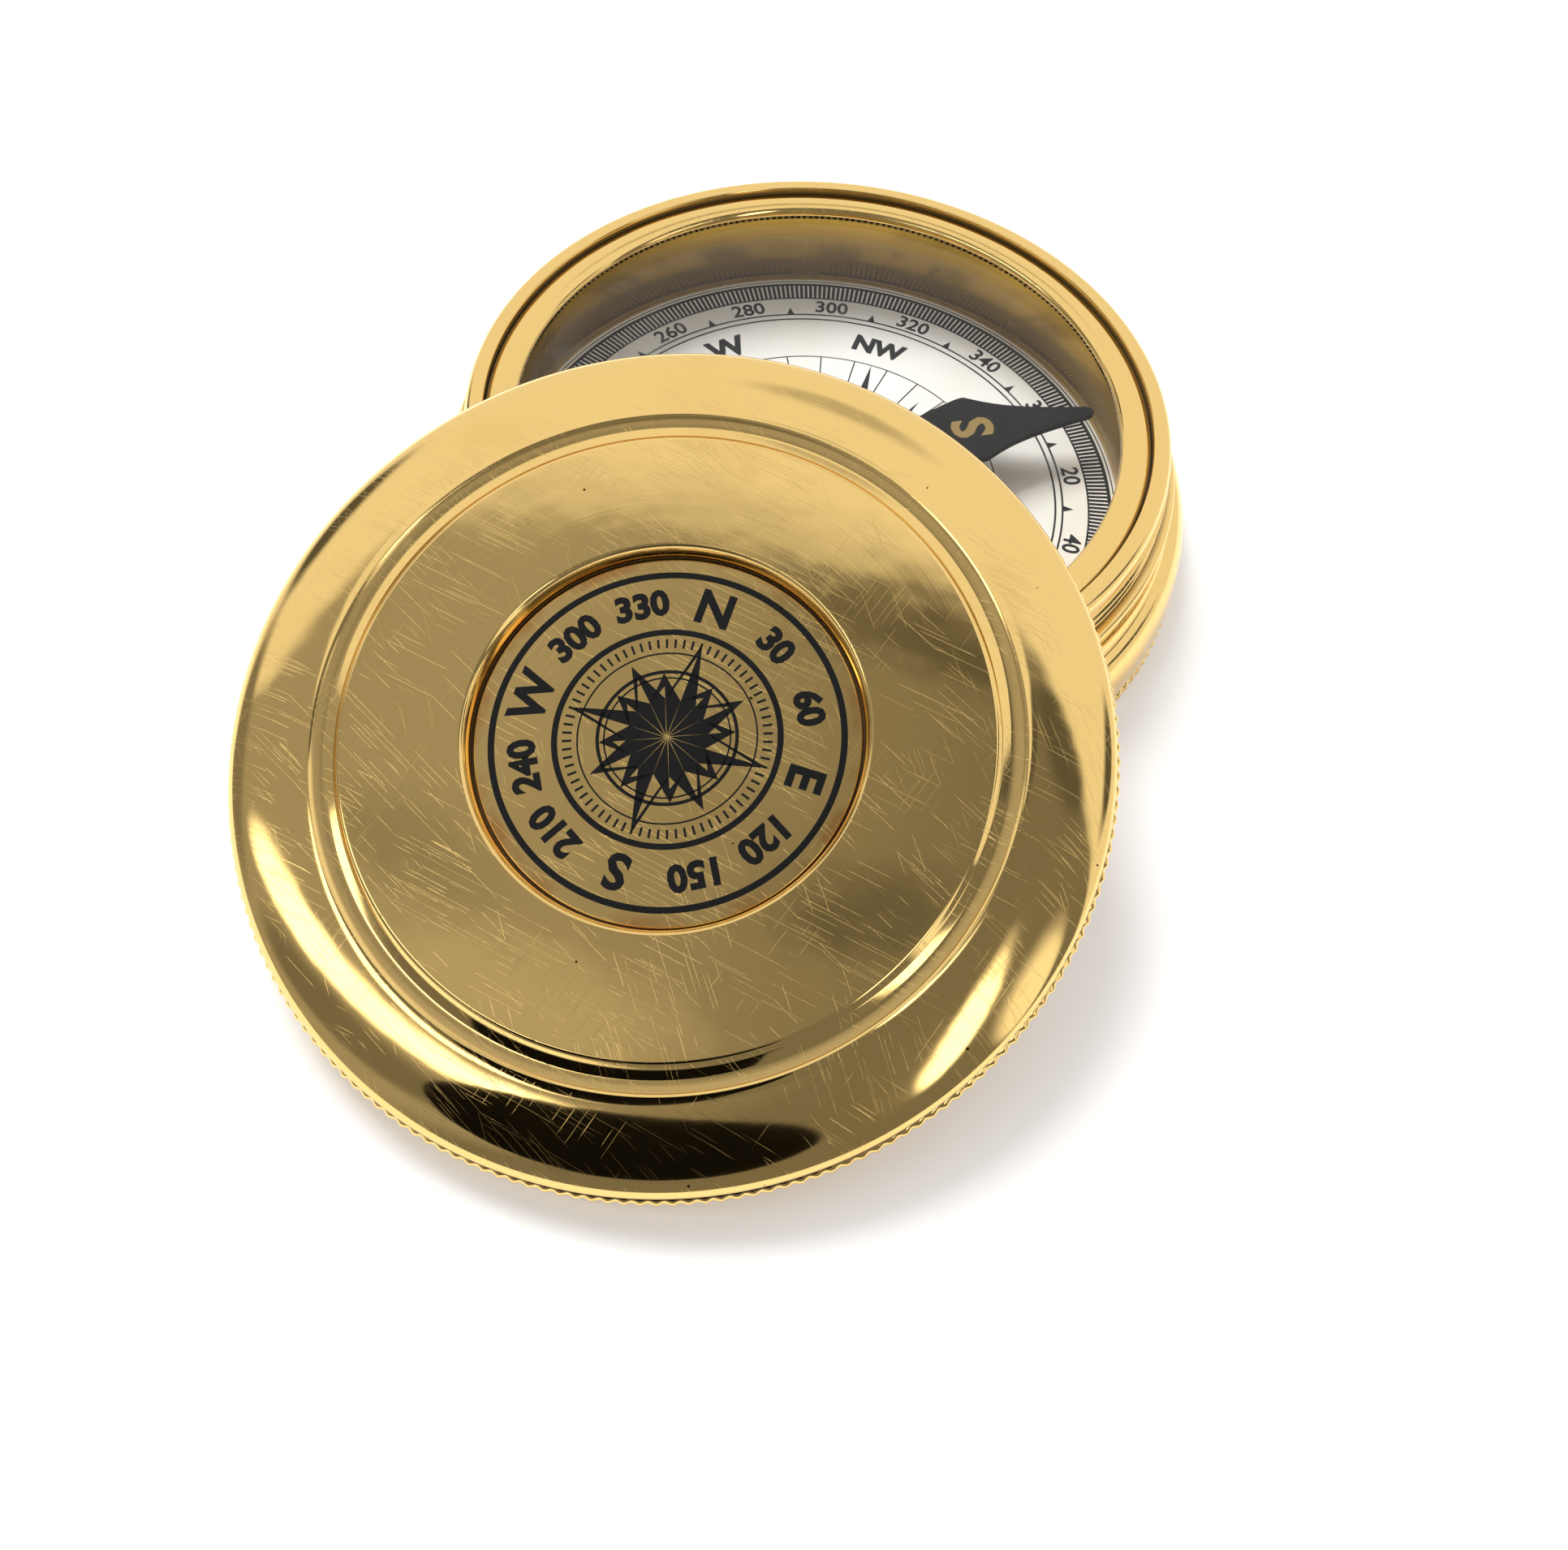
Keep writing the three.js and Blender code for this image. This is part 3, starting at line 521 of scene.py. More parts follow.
def film(name, colour, rough, coat=0.0, shine=0.5):
    """A thin coloured film, such as ink or enamel: even, with a slight unevenness in its gloss."""
    material, tree = bare_material(name)
    place = place_in_mm(tree)
    patches = add(tree, "ShaderNodeTexNoise", {"Vector": place, "Scale": 1.7, "Detail": 4})
    uneven = add(tree, "ShaderNodeMapRange", {
        "Value": patches, "To Min": rough * 0.7, "To Max": rough * 1.3})
    pale = add(tree, "ShaderNodeMapRange", {"Value": patches, "From Min": 0.5, "To Max": 0.25})
    tint = add(tree, "ShaderNodeMix", {0: pale, 6: linear(colour[0]), 7: linear(colour[1])},
               data_type="RGBA").outputs[2]
    shader = add(tree, "ShaderNodeBsdfPrincipled", {
        "Base Color": tint, "Roughness": uneven, "Coat Weight": coat,
        "Specular IOR Level": shine})
    add(tree, "ShaderNodeOutputMaterial", {"Surface": shader})
    return material


PRINT = film("printing ink", ("#1E1E20", "#3A3A3D"), 0.6, shine=0.2)
card = turned("dial_card_disc", outline(
    (CARD_EYE, CARD_BOTTOM), (CONTENTS, CARD_BOTTOM, 0.05), (CONTENTS, CARD_TOP, 0.08),
    (CARD_EYE, CARD_TOP, 0.05), (CARD_EYE, CARD_BOTTOM)), paper(), facets=192)
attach(card, "case")
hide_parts("dial_card")


def joined(name, parts, finish):
    """Several meshes as one piece."""
    mesh = bpy.data.meshes.new(name)
    form = bmesh.new()
    for part in parts:
        form.from_mesh(part)
    form.to_mesh(mesh)
    form.free()
    mesh.materials.append(finish)
    for face in mesh.polygons:
        face.material_index = 0
    return shown(name, mesh)


def flat_rings(name, rings, bottom, thick, finish):
    """Flat rings, each given by its middle radius and its width in mm."""
    parts = []
    for middle, width in rings:
        near, far = middle - width / 2, middle + width / 2
        ring = turned("ring", [(near, bottom, 0), (far, bottom, 0), (far, bottom + thick, 0),
                               (near, bottom + thick, 0), (near, bottom, 0)], finish)
        parts.append(ring.data)
        bpy.data.objects.remove(ring)
    return joined(name, parts, finish)


def marks_tree():
    """Sets one small block at even steps round a circle."""
    tree, given = shaping_tree("marks round a circle", {
        "Mark": "Geometry", "Count": "Int", "Radius": "Float", "First": "Float",
        "Height": "Float", "Finish": "Material"})
    points = add(tree, "GeometryNodePoints", {"Count": given["Count"]})
    index = add(tree, "GeometryNodeInputIndex")
    share = add(tree, "ShaderNodeMath", {0: index, 1: given["Count"]}, operation="DIVIDE")
    angle = add(tree, "ShaderNodeMath", {0: share, 1: math.tau, 2: given["First"]},
                operation="MULTIPLY_ADD")
    place = on_circle(tree, angle, given["Radius"], given["Height"])[0]
    points = add(tree, "GeometryNodeSetPosition", {"Geometry": points, "Position": place})
    turn = add(tree, "ShaderNodeCombineXYZ", {"Z": angle})
    blocks = add(tree, "GeometryNodeInstanceOnPoints", {
        "Points": points, "Instance": given["Mark"], "Rotation": turn})
    blocks = add(tree, "GeometryNodeRealizeInstances", {"Geometry": blocks})
    return finished(tree, blocks, given)


MARKS = marks_tree()


def band(first, count):
    """The faces between a loop of points and the next one, from the first loop's first point."""
    return [(first + i, first + (i + 1) % count, first + count + (i + 1) % count,
             first + count + i) for i in range(count)]


def prism(points, thick):
    """A flat shape with a thickness, from points in mm that run anticlockwise."""
    count = len(points)
    mesh = bpy.data.meshes.new("prism")
    mesh.from_pydata(
        [(x * MM, y * MM, z * MM) for z in (0, thick) for x, y in points], [],
        [range(count)[::-1], range(count, 2 * count), *band(0, count)])
    return mesh


def marks(name, shape, count, radius, first, height, finish, thick=INK):
    """Copies of a flat shape round a circle. It is drawn at the circle, with X pointing out."""
    return shaped(name, prism(shape, thick), MARKS, {
        "Count": count, "Radius": radius * MM, "First": math.radians(first),
        "Height": height * MM, "Finish": finish})


def stroke(length, width):
    """A short straight mark that starts on its circle and runs outwards."""
    return [(0, -width / 2), (length, -width / 2), (length, width / 2), (0, width / 2)]


def lettering(name, words, size, finish, height, thick=INK, bold=0.0, flip=False):
    """Words set round the axis, each given by its text, radius and direction in degrees, with
    their tops outwards, or inwards when flip is set."""
    parts = []
    for text, radius, towards, *scale in words:
        word = bpy.data.curves.new("word", "FONT")
        word.body = text
        word.align_x = word.align_y = "CENTER"
        word.size = size * (scale[0] if scale else 1) * MM
        word.offset = bold * MM
        word.extrude = thick / 2 * MM
        word.resolution_u = 3
        mesh = settled(shown("word", word))
        points = np.array([v.co for v in mesh.vertices])
        middle = (points.min(axis=0) + points.max(axis=0)) / 2
        mesh.transform(Matrix.Translation((-middle[0], -middle[1], 0)))
        angle = math.radians(towards)
        spot = Vector((radius * math.cos(angle), radius * math.sin(angle), height + thick / 2))
        turn = angle - math.pi / 2 + (math.pi if flip else 0)
        mesh.transform(Matrix.Translation(spot * MM) @ Matrix.Rotation(turn, 4, "Z"))
        parts.append(mesh)
    return joined(name, parts, finish)


# Each print has its own height, so that no two faces share a plane.
dial_prints = [
    flat_rings("dial_rings", (
        (30.62, 0.36), (28.4, 0.18), (25.72, 0.2), (24.98, 0.2), (19.05, 0.13), (31.12, 0.12),
    ), CARD_TOP + 0.005, INK, PRINT),
    marks("dial_degree_marks", stroke(2.05, 0.32), 360, 28.45, NORTH, CARD_TOP + 0.007, PRINT),
    marks("dial_twenty_degree_arrows", [(0, -0.4), (1.1, 0), (0, 0.4)], 18, 25.75, NORTH + 10,
          CARD_TOP + 0.006, PRINT),
    lettering("dial_numbers", [
        (str(n), 27.02, NORTH - n) for n in range(20, 361, 20)], 2.5, PRINT, CARD_TOP + 0.006,
        bold=0.05),
    lettering("dial_points", [
        (text, 21.95, NORTH - 45 * i, 0.8 if len(text) > 1 else 1) for i, text in enumerate(
            ("N", "NE", "E", "SE", "S", "SW", "W", "NW"))], 3.9, PRINT, CARD_TOP + 0.006,
        bold=0.16),
    marks("dial_rose_lines", stroke(7, 0.14), 32, 12, NORTH + 5.625, CARD_TOP + 0.005, PRINT),
    marks("dial_rose_long_points", [(-6.5, 0), (0, -1.5), (7.05, 0)], 8, 12, NORTH,
          CARD_TOP + 0.008, PRINT),
    marks("dial_rose_short_points", [(-4, 0), (0, -1.0), (5, 0)], 8, 12, NORTH + 22.5,
          CARD_TOP + 0.008, PRINT),
]
for piece in dial_prints:
    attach(piece, "case")


# The liner is a thin brass sleeve that holds the card down and the glass up. It was rolled from
# sheet and left dull inside, and its bare metal has browned under the glass.

LINER_INNER, LINER_BOTTOM, LINER_TOP = 31.45, 3.6, 12.2
LINER_BRASS = brass("browned brass sleeve", "#BE9A4C", 0.26, wear=0.3, grain=0.2)
liner = turned("liner_sleeve", outline(
    (LINER_INNER, LINER_BOTTOM), (CONTENTS, LINER_BOTTOM, 0.06), (CONTENTS, LINER_TOP, 0.08),
    (LINER_INNER, LINER_TOP, 0.12), (LINER_INNER, LINER_BOTTOM)), LINER_BRASS)
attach(liner, "case")
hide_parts("wall_liner")


# The pivot is a turned brass stud through card and plate, with a hardened steel pin pressed into
# it. The needle rides on the pin's ground point.

STUD_BRASS = brass("turned brass stud", "#C9A866", 0.3, grain=1.6)
stud = turned("pivot_stud_turned", outline(
    (0, 2), (1, 2, 0.1), (1, 3.6, 0.05), (2.8, 3.6, 0.1), (2.8, 4.3, 0.15), (1.4, 4.7, 0.2),
    (1.4, 6.75, 0.15), (1, 7.15, 0.1), (0.75, 7.15, 0.05), (0.75, 4.55, 0.05), (0, 4.55),
), STUD_BRASS, facets=64)
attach(stud, "case")
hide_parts("pivot_stud")


def steel():
    """Hardened and ground steel: grey, bright, with fine grinding marks round the pin."""
    material, tree = bare_material("ground steel")
    round_axis = add(tree, "ShaderNodeAttribute", attribute_name="turning").outputs["Vector"]
    marks = add(tree, "ShaderNodeVectorMath", {0: round_axis, 1: (2, 2, 14)}, operation="MULTIPLY")
    marks = add(tree, "ShaderNodeTexNoise", {"Vector": marks, "Scale": 1, "Detail": 2})
    rough = add(tree, "ShaderNodeMapRange", {"Value": marks, "To Min": 0.18, "To Max": 0.4})
    bump = add(tree, "ShaderNodeBump", {"Distance": 0.002 * MM, "Height": marks})
    shader = add(tree, "ShaderNodeBsdfPrincipled", {
        "Base Color": linear("#C4C6C8"), "Metallic": 1.0, "Roughness": rough, "Normal": bump})
    add(tree, "ShaderNodeOutputMaterial", {"Surface": shader})
    return material


pin = turned("pivot_pin_ground", outline(
    (0, 4.6), (0.45, 4.6, 0.05), (0.45, 8.55, 0.1), (0.08, 9.3, 0.06), (0, 9.35),
), steel(), facets=48)
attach(pin, "case")
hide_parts("pivot_pin")


# The needle is a steel strip, punched out with a spear head at each end and lacquered black.
# The letters on its heads are stamped in gold foil.

NEEDLE_TURN = 32
BLADE_BOTTOM, BLADE_TOP = 8.1, 8.7
HUB_RADIUS, EYE_RADIUS = 3.1, 2.1


def lacquer():
    """Black lacquer over steel: near black and nearly matt, with fine dust in it."""
    material, tree = bare_material("black lacquer")
    place = place_in_mm(tree)
    dust = add(tree, "ShaderNodeTexNoise", {"Vector": place, "Scale": 3, "Detail": 4})
    rough = add(tree, "ShaderNodeMapRange", {"Value": dust, "To Min": 0.45, "To Max": 0.7})
    pale = add(tree, "ShaderNodeMapRange", {
        "Value": dust, "From Min": 0.4, "From Max": 0.9, "To Max": 0.5})
    tint = add(tree, "ShaderNodeMix", {0: pale, 6: linear("#141313"), 7: linear("#242322")},
               data_type="RGBA").outputs[2]
    shader = add(tree, "ShaderNodeBsdfPrincipled", {
        "Base Color": tint, "Roughness": rough, "Specular IOR Level": 0.08})
    add(tree, "ShaderNodeOutputMaterial", {"Surface": shader})
    return material


quarter = [(HUB_RADIUS, 1.4), (4.2, 1.75), (9.5, 1.8), (12.1, 2.9), (14.2, 3.7), (15.7, 4.22),
           (16.4, 4.38), (16.7, 4.38), (17, 4.25), (18.4, 3.5), (19.6, 2.95), (20.8, 2.5),
           (22.2, 2.08), (23.6, 1.72), (25, 1.42), (26.8, 1.08), (28.2, 0.85), (28.95, 0.7),
           (29.3, 0.5), (29.48, 0.25), (29.53, 0)]
side = quarter + [(x, -y) for x, y in quarter[-2::-1]]
side += [(HUB_RADIUS * math.cos(a), -HUB_RADIUS * math.sin(a))
         for a in np.linspace(0.6, math.pi / 2, 6)]
blade_outline = side + [(-x, -y) for x, y in side]


def oval(wide, high):
    """Points round an oval, from its half width and half height."""
    return [(wide * math.cos(a), high * math.sin(a))
            for a in np.linspace(0, math.tau, 48, endpoint=False)]


def punched(name, outside, hole, bottom, top, bevel, finish):
    """A flat piece punched from sheet, with a round hole and slightly rounded edges."""
    edge = np.array(outside)
    sides = np.roll(edge, -1, axis=0) - np.roll(edge, 1, axis=0)
    inwards = np.stack((sides[:, 1], -sides[:, 0]), axis=1)
    inwards /= np.hypot(*inwards.T)[:, None]
    if (inwards * edge).sum() > 0:
        inwards = -inwards
    rim = edge + inwards * bevel
    eye = oval(hole, hole)
    count, gaps = len(edge), len(eye)
    rings = [
        (rim, bottom), (edge, bottom + bevel), (edge, top - bevel), (rim, top),
        (eye, bottom), (eye, top),
    ]
    start = 4 * count
    faces = band(0, count) + band(count, count) + band(2 * count, count) + band(start, gaps)
    loops = [[Vector((x, y, 0)) for x, y in line] for line in (rim, eye)]
    for corners in tessellate_polygon(loops):
        faces.append([i if i < count else start + i - count for i in corners])
        faces.append([3 * count + i if i < count else start + gaps + i - count for i in corners])
    mesh = bpy.data.meshes.new(name)
    mesh.from_pydata([(x * MM, y * MM, z * MM) for ring, z in rings for x, y in ring], [], faces)
    face_outwards(mesh)
    mesh.materials.append(finish)
    return shown(name, mesh)


needle_place = Matrix.Rotation(math.radians(NEEDLE_TURN), 4, "Z")
blade = punched("needle_spears", blade_outline, EYE_RADIUS, BLADE_BOTTOM, BLADE_TOP, 0.08,
                lacquer())
blade.data.transform(needle_place)
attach(blade, "needle")
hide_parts("needle_blade")

GOLD = film("gold foil", ("#83692F", "#6C5526"), 0.5)
letters = lettering("needle_letters", [("S", 16.4, 0), ("N", 16.4, 180)], 5.8, GOLD,
                    BLADE_TOP - 0.005, thick=0.02, bold=0.18, flip=True)
letters.data.transform(needle_place)
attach(letters, "needle")


# The cap is turned from brass rod and riveted through the needle's eye. It holds a hard glass
# cup, the jewel, in which the pin's point turns.

CAP_BRASS = brass("turned brass cap", "#E8C27A", 0.2, grain=1.5)
cap = turned("needle_cap_turned", outline(
    (1.35, 8.05), (1.8, 8.05, 0.08), (1.8, 8.75, 0.03), (2.9, 8.75, 0.08), (2.9, 9.1, 0.1),
    (2.3, 9.1, 0.08), *curve(0, 9.1, 2.3, 2.1, 3, 90), (0, 9.95), (1.35, 9.95, 0.05),
    (1.35, 8.05)), CAP_BRASS, facets=64)
cap.data.transform(needle_place)
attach(cap, "needle")
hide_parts("needle_cap")

JEWEL = film("red jewel glass", ("#8C2F3A", "#A8444C"), 0.08, coat=0.6)
jewel = turned("jewel_cup_ground", outline(
    (0, 9.65), (0.75, 9.1, 0.05), (1.05, 9.1, 0.04), (1.05, 9.9, 0.05), (0, 9.9),
), JEWEL, facets=48)
jewel.data.transform(needle_place)
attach(jewel, "needle")
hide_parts("jewel_cup")


# A flat ring of pressed fibre lies on the liner, so that the glass doesn't sit on bare metal.

GASKET_BOTTOM, GASKET_TOP = 12.25, 12.6
FIBRE = film("pressed fibre", ("#4A4238", "#5E5446"), 0.9)
gasket = turned("glass_gasket_ring", outline(
    (LINER_INNER, GASKET_BOTTOM), (CONTENTS, GASKET_BOTTOM, 0.06), (CONTENTS, GASKET_TOP, 0.06),
    (LINER_INNER, GASKET_TOP, 0.06), (LINER_INNER, GASKET_BOTTOM)), FIBRE, facets=192)
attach(gasket, "case")
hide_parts("glass_gasket")


# The glass is a flat disc of clear window glass, ground at its edge and held by the bezel ring.

GLASS_BOTTOM, GLASS_TOP = 12.65, 14.15


def window_glass():
    """Clear sheet glass: smooth, faintly smudged, with a weak gloss, so that the dial shows well.
    Light reaches the dial straight through it."""
    material, tree = bare_material("clear sheet glass")
    place = place_in_mm(tree)
    smudges = add(tree, "ShaderNodeTexNoise", {"Vector": place, "Scale": 0.2, "Detail": 5})
    rough = add(tree, "ShaderNodeMapRange", {
        "Value": smudges, "From Min": 0.45, "From Max": 0.8, "To Max": 0.08})
    glass = add(tree, "ShaderNodeBsdfPrincipled", {
        "Base Color": linear("#FDFEFD"), "Roughness": rough, "IOR": 1.5,
        "Transmission Weight": 1.0, "Specular IOR Level": 0.3,
        "Specular Tint": linear("#5A5A5A")})
    clear = add(tree, "ShaderNodeBsdfTransparent")
    path = add(tree, "ShaderNodeLightPath").outputs
    through = add(tree, "ShaderNodeMath", {
        0: path["Is Shadow Ray"], 1: path["Is Diffuse Ray"]}, operation="MAXIMUM")
    surface = add(tree, "ShaderNodeMixShader", {0: through, 1: glass, 2: clear})
    add(tree, "ShaderNodeOutputMaterial", {"Surface": surface})
    return material


glass = turned("window_glass_disc", outline(
    (0, GLASS_BOTTOM), (CONTENTS, GLASS_BOTTOM, 0.15), (CONTENTS, GLASS_TOP, 0.15),
    (0, GLASS_TOP)), window_glass(), facets=192)
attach(glass, "case")
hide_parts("glass")


# The bezel is a turned brass ring with a rounded top, pressed into the bore to hold the glass.
# Polish and dirt have dried in the narrow groove between it and the lip; its dark brown there is
# partly that and partly painted shade.

BEZEL_INNER, BEZEL_BOTTOM = 29.5, 14.2
bezel = turned("bezel_turned", outline(
    (BEZEL_INNER, BEZEL_BOTTOM), (CONTENTS, BEZEL_BOTTOM, 0.08), (CONTENTS, 14.75, 0.15, 0.6),
    *curve(30.96, 14.75, 1.43, 0.6, 6, 30, 4, 0.8), *curve(30.96, 14.75, 1.43, 0.6, 36, 170),
    (BEZEL_INNER, 14.7, 0.2), (BEZEL_INNER, BEZEL_BOTTOM)), BODY_BRASS)
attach(bezel, "case")
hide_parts("bezel_ring")


# The lid is turned from a brass casting: a knurled rim, a domed border that ends in a thin bead,
# a channel, a flat field and a recess for the medallion. Off the case, it leans on the lip.

LID_LEAN = math.radians(15.766)
lid_place = Matrix.Translation(Vector((0, -40, 10.087)) * MM) @ Matrix.Rotation(LID_LEAN, 4, "X")
LID_BORE, SKIRT, FIELD, RECESS = 34.85, 2.05, 6.65, 17.15
BEAD, CHANNEL_FLOOR, RECESS_FLOOR = FIELD - 0.3, FIELD - 0.55, 4.6
# A corner's fourth number darkens the groove over the knurl, the channel and the recess corner with
# dirt and painted shade.
lid = turned("lid_turned", outline(
    (LID_BORE + 0.4, 0), (foot, 0, 0.3), (foot, SKIRT, 0.15), (37.6, 2.45, 0.1),
    (37.6, 3.45, 0.1, 1), (37.25, 3.74, 0.06, 1), (37.55, 4.0, 0.12, 0.3),
    *curve(30.1, 4.1, 7.48, BEAD - 4.11, 3, 88, 24),
    (30.05, BEAD + 0.1, 0.12), (29.85, BEAD + 0.02, 0.1), (29.65, CHANNEL_FLOOR + 0.1, 0.12, 0.5),
    (28.8, CHANNEL_FLOOR - 0.05, 1), (27.95, CHANNEL_FLOOR + 0.15, 0.3), (27.5, FIELD, 0.5),
    *curve(RECESS + 0.2, RECESS_FLOOR + 0.55, 0.7, FIELD - RECESS_FLOOR - 0.55, 91, 178, 12),
    (RECESS - 0.47, RECESS_FLOOR, 0.1, 1), (0, RECESS_FLOOR),
    (0, 4.1), (18.6, 4.1, 0.3), (19.2, 4.5, 0.3), (LID_BORE, 4.5, 0.3),
    (LID_BORE, 0.4, 0.1), (LID_BORE + 0.4, 0)), BODY_BRASS)
lid.data.transform(lid_place)
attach(lid, "lid")
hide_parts("lid_shell")

lid_knurl = knurled("lid_knurl", BODY_BRASS, rise=SKIRT)
lid_knurl.data.transform(lid_place)
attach(lid_knurl, "lid")

lid_thread = thread("lid_thread", LID_BORE, -1, 1.0, BODY_BRASS)
lid_thread.data.transform(lid_place)
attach(lid_thread, "lid")


# The medallion is a thin brass disc, cemented into the lid's recess. Its figures are cut into it
# and filled with black enamel: two ring lines, a graduated compass ring and a rose.

MEDALLION_TOP, MEDALLION_RADIUS = 5.1, 16.4
DISC_BRASS = brass("lacquered brass disc", "#F3CE82", 0.08, tarnish=((0, -41.3, 15), 15.3))
ENAMEL = film("black enamel", ("#070606", "#0E0C0A"), 0.4, shine=0.3)
# The disc's lower edge, at the seam with the recess, is darkened with dirt and painted shade.
disc = turned("medallion_disc", outline(
    (0, 4.65), (MEDALLION_RADIUS, 4.65, 0.05, 1), (MEDALLION_RADIUS, MEDALLION_TOP, 0.12),
    (0, MEDALLION_TOP)), DISC_BRASS)
disc.data.transform(lid_place)
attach(disc, "lid")
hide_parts("lid_medallion")

MEDALLION_NORTH, ROSE_SPREAD, ENAMEL_RISE = 90, 0.39, 0.02


def enamelled(name, shape, count, first, radius=0.001):
    """A cut shape filled with enamel, repeated round the medallion's middle."""
    return marks(name, shape, count, radius, first, MEDALLION_TOP, ENAMEL, thick=ENAMEL_RISE)


enamel = [
    flat_rings("medallion_ring_lines", (
        (14.9, 0.56), (9.55, 0.52), (7.6, 0.14), (5.9, 0.3), (5.35, 0.14),
    ), MEDALLION_TOP, ENAMEL_RISE, ENAMEL),
    lettering("medallion_figures", [
        (text, 12.25, MEDALLION_NORTH - 30 * i, 1.15 if text.isalpha() else 0.85)
        for i, text in enumerate(("N", "30", "60", "E", "120", "150", "S", "210", "240", "W",
                                  "300", "330"))],
        3.7, ENAMEL, MEDALLION_TOP, thick=ENAMEL_RISE, bold=0.15),
    enamelled("medallion_ticks", stroke(0.8, 0.2), 72, MEDALLION_NORTH, radius=8.1),
]
# Each point of the rose has a dark half and a light half, which is a line 0.2 mm wide.
for size, tip, shoulder, count, turn in (
    ("long", 8.9, 3.6, 4, 0), ("middle", 7.2, 3.5, 4, 45), ("short", 5.8, 3.4, 8, 22.5),
):
    x, y = shoulder * math.cos(ROSE_SPREAD), shoulder * math.sin(ROSE_SPREAD)
    for end, shape in (
        ("", [(0.2, 0), (x, -y), (tip, 0)]),
        ("_lines", [(x, y), (x + 0.3, y - 0.26), (tip - 1.2, 0), (tip, 0)]),
    ):
        enamel.append(enamelled(
            f"medallion_rose_{size}{end}", shape, count, MEDALLION_NORTH + turn))
for piece in enamel:
    piece.data.transform(lid_place)
    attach(piece, "lid")


# The table is a plain white sheet. To the camera and in the brass it looks lit a little more
# than it is, as in an overexposed picture, and what it casts up on the compass stays as it is.

HALF_TABLE = 2
sheet = bpy.data.meshes.new("table")
sheet.from_pydata([(x * HALF_TABLE, y * HALF_TABLE, 0) for x, y in (
    (-1, -1), (1, -1), (1, 1), (-1, 1))], [], [(0, 1, 2, 3)])
table = shown("table", sheet)
white, tree = bare_material("white paper sheet")
path = add(tree, "ShaderNodeLightPath").outputs
seen = add(tree, "ShaderNodeMath", {0: path["Is Camera Ray"], 1: path["Is Glossy Ray"]},
           operation="MAXIMUM")
seen = add(tree, "ShaderNodeMath", {0: seen, 1: path["Is Transmission Ray"]}, operation="MAXIMUM")
paper_white = add(tree, "ShaderNodeBsdfDiffuse", {"Color": linear("#F4F4F4")})
lift = add(tree, "ShaderNodeEmission", {"Color": linear("#FFFFFF"), "Strength": 0.22})
lifted = add(tree, "ShaderNodeAddShader", {0: paper_white, 1: lift})
surface = add(tree, "ShaderNodeMixShader", {0: seen, 1: paper_white, 2: lifted})
add(tree, "ShaderNodeOutputMaterial", {"Surface": surface})
sheet.materials.append(white)


# A flag is a piece of black felt that a photographer holds beside the lens, so that the polished
# brass has something dark to reflect. This one is oval, and shows in reflections only.

FLAG_PLACE = Vector((6, -121, 55)) * MM
flag_mesh = bpy.data.meshes.new("flag")
rim = oval(41 * MM, 35 * MM)
flag_mesh.from_pydata([FLAG_PLACE + Vector((x, y, 0)) for x, y in rim], [], [range(len(rim))])
flag = shown("flag", flag_mesh)
for ray in ("camera", "diffuse", "shadow", "transmission"):
    setattr(flag, f"visible_{ray}", False)
felt, tree = bare_material("black felt")
shader = add(tree, "ShaderNodeBsdfPrincipled", {
    "Base Color": linear("#101010"), "Specular IOR Level": 0})
add(tree, "ShaderNodeOutputMaterial", {"Surface": shader})
flag_mesh.materials.append(felt)


# The room is a plain studio: a broad pale wall behind the compass, a dimmer one in front, and
# soft patches of light and shade. It is drawn on a chart: the zenith is its middle, X and Y point
# as they do on the table, and the distance from the middle is the angle from the zenith in degrees.

world = bpy.data.worlds.new("studio")
scene.world = world
world.use_nodes = True
tree = world.node_tree
tree.nodes.clear()
way = add(tree, "ShaderNodeTexCoord").outputs["Generated"]
parts = add(tree, "ShaderNodeSeparateXYZ", {0: way}).outputs
fall = add(tree, "ShaderNodeMath", {0: parts["Z"]}, operation="ARCCOSINE")
fall = add(tree, "ShaderNodeMath", {0: fall, 1: math.degrees(1)}, operation="MULTIPLY")
flat = add(tree, "ShaderNodeVectorMath", {0: way, 1: (1, 1, 0)}, operation="MULTIPLY")
flat = add(tree, "ShaderNodeVectorMath", {0: flat}, operation="NORMALIZE")
chart = add(tree, "ShaderNodeVectorMath", {0: flat, 3: fall}, operation="SCALE").outputs[0]
chart_parts = add(tree, "ShaderNodeSeparateXYZ", {0: chart}).outputs
side = add(tree, "ShaderNodeMapRange", {
    "Value": chart_parts["X"], "From Min": -18, "From Max": 0, "To Min": 0.4, "To Max": 0.22})
fallen = add(tree, "ShaderNodeMapRange", {
    "Value": chart_parts["X"], "From Min": -50, "From Max": -14, "To Min": 9.7, "To Max": 0.0})
edge = add(tree, "ShaderNodeMath", {0: chart_parts["Y"], 1: fallen}, operation="ADD")
wall = add(tree, "ShaderNodeMapRange", {
    "Value": edge, "From Min": 8, "From Max": 10.5, "To Min": 0.6, "To Max": 0.98})
room = add(tree, "ShaderNodeMapRange", {
    "Value": edge, "From Min": 7.7, "From Max": 8.5}, interpolation_type="SMOOTHSTEP")
room = add(tree, "ShaderNodeMix", {0: room, 2: side, 3: wall})
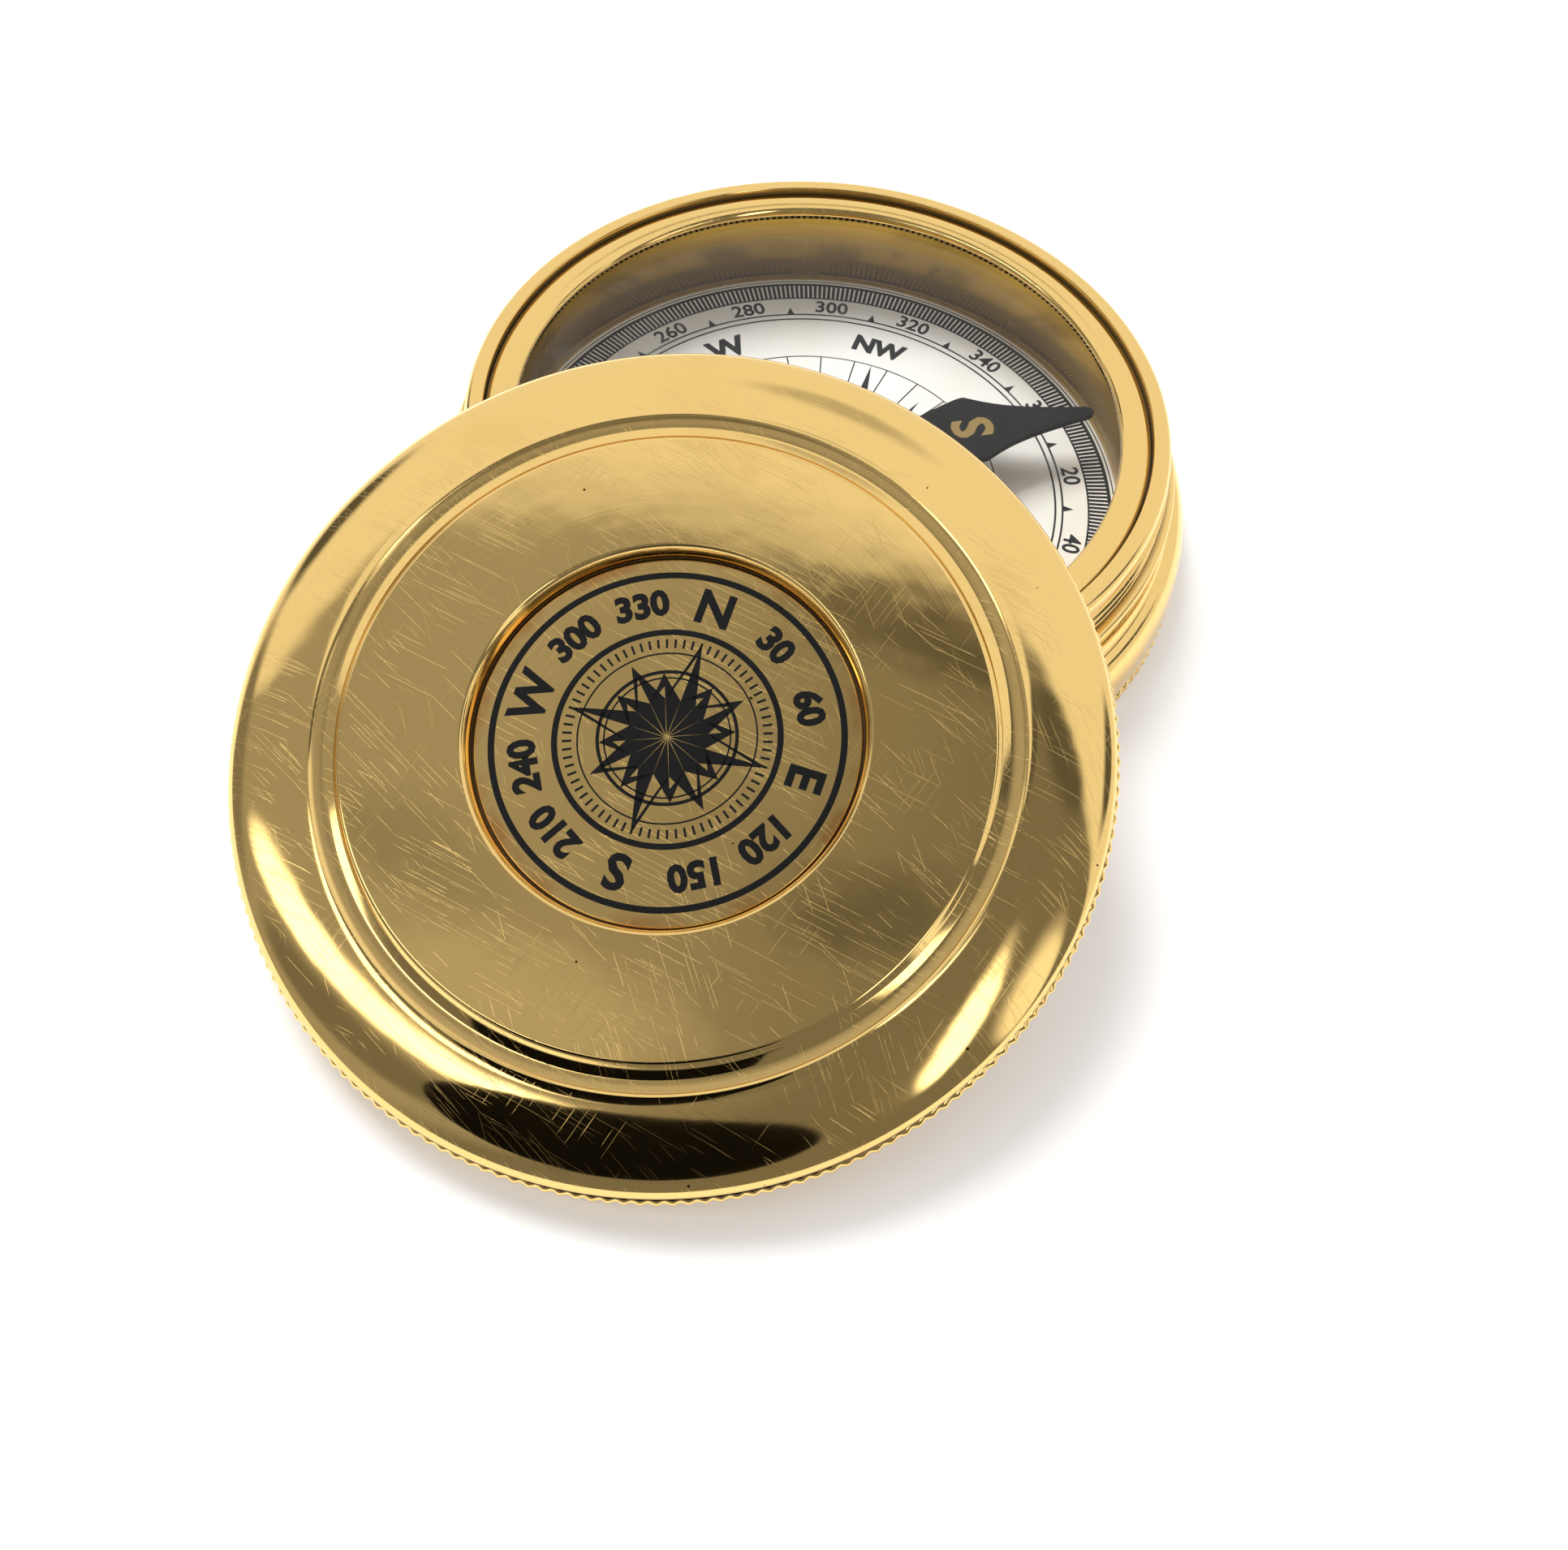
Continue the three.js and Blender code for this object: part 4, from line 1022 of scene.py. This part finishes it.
# Each patch is an oval at a place on the chart, with its half width and height, its turn in
# degrees, its brightness and how soft its edge is. A patch lies over those before it.
for x, y, wide, high, turn, value, soft in (
    (-4, 7.2, 6, 1.5, 4, 0.12, 0.5),
    (14, 8.5, 13, 3, 0, 0.12, 0.35),
    (-4, -3, 3.2, 1.3, 18, 0.14, 0.6),
    (-20, -5.4, 3.5, 1.2, -8, 0.3, 0.6),
    (-15, -9.5, 6, 2, 0, 0.52, 0.6),
    (-8, 33, 7, 5, 0, 0.6, 0.5),
    (-64, 27, 11, 12, 0, 0.12, 0.35),
    (53, 28, 9, 12, 0, 0.12, 0.35),
    (-74, -6, 12, 20, 0, 0.25, 0.35),
    (-38, -36, 24, 10, 0, 0.2, 0.35),
    (8, -85, 52, 34, 0, 0.22, 0.25),
    (-31, -19.5, 22, 4.5, -4, 3.2, 0.3),
    (25, -18.5, 15, 4, -48, 3.0, 0.3),
    (58, -14, 26, 9, -12, 1.2, 0.3),
):
    spot = add(tree, "ShaderNodeMapping", {
        "Vector": chart, "Location": (x, y, 0), "Rotation": (0, 0, math.radians(turn)),
        "Scale": (wide, high, 1)}, vector_type="TEXTURE")
    far = add(tree, "ShaderNodeVectorMath", {0: spot}, operation="LENGTH").outputs["Value"]
    inside = add(tree, "ShaderNodeMapRange", {
        "Value": far, "From Min": 1 - soft, "From Max": 1 + soft, "To Min": 1.0, "To Max": 0.0},
        interpolation_type="SMOOTHSTEP")
    room = add(tree, "ShaderNodeMix", {0: inside, 2: room, 3: value})
path = add(tree, "ShaderNodeLightPath").outputs
strength = add(tree, "ShaderNodeMix", {0: path["Is Camera Ray"], 2: room, 3: 1.0})
back = add(tree, "ShaderNodeBackground", {"Color": linear("#FFFFFF"), "Strength": strength})
add(tree, "ShaderNodeOutputWorld", {"Surface": back})


# One soft square lamp stands behind the compass, to its left. The brass doesn't show it, since
# the room has its own bright patches.

LAMP_DISTANCE, LAMP_SIZE = 1.2, 0.6
light = bpy.data.lights.new("key_lamp", "AREA")
light.shape = "RECTANGLE"
light.size = light.size_y = LAMP_SIZE
light.energy = 12
key_lamp = shown("key_lamp", light)
towards = Vector((-0.46, 0.36, 0.82)).normalized()
key_lamp.matrix_world = Matrix.Translation(towards * LAMP_DISTANCE) @ (
    towards.to_track_quat("Z", "Y").to_matrix().to_4x4())
key_lamp.visible_glossy = False
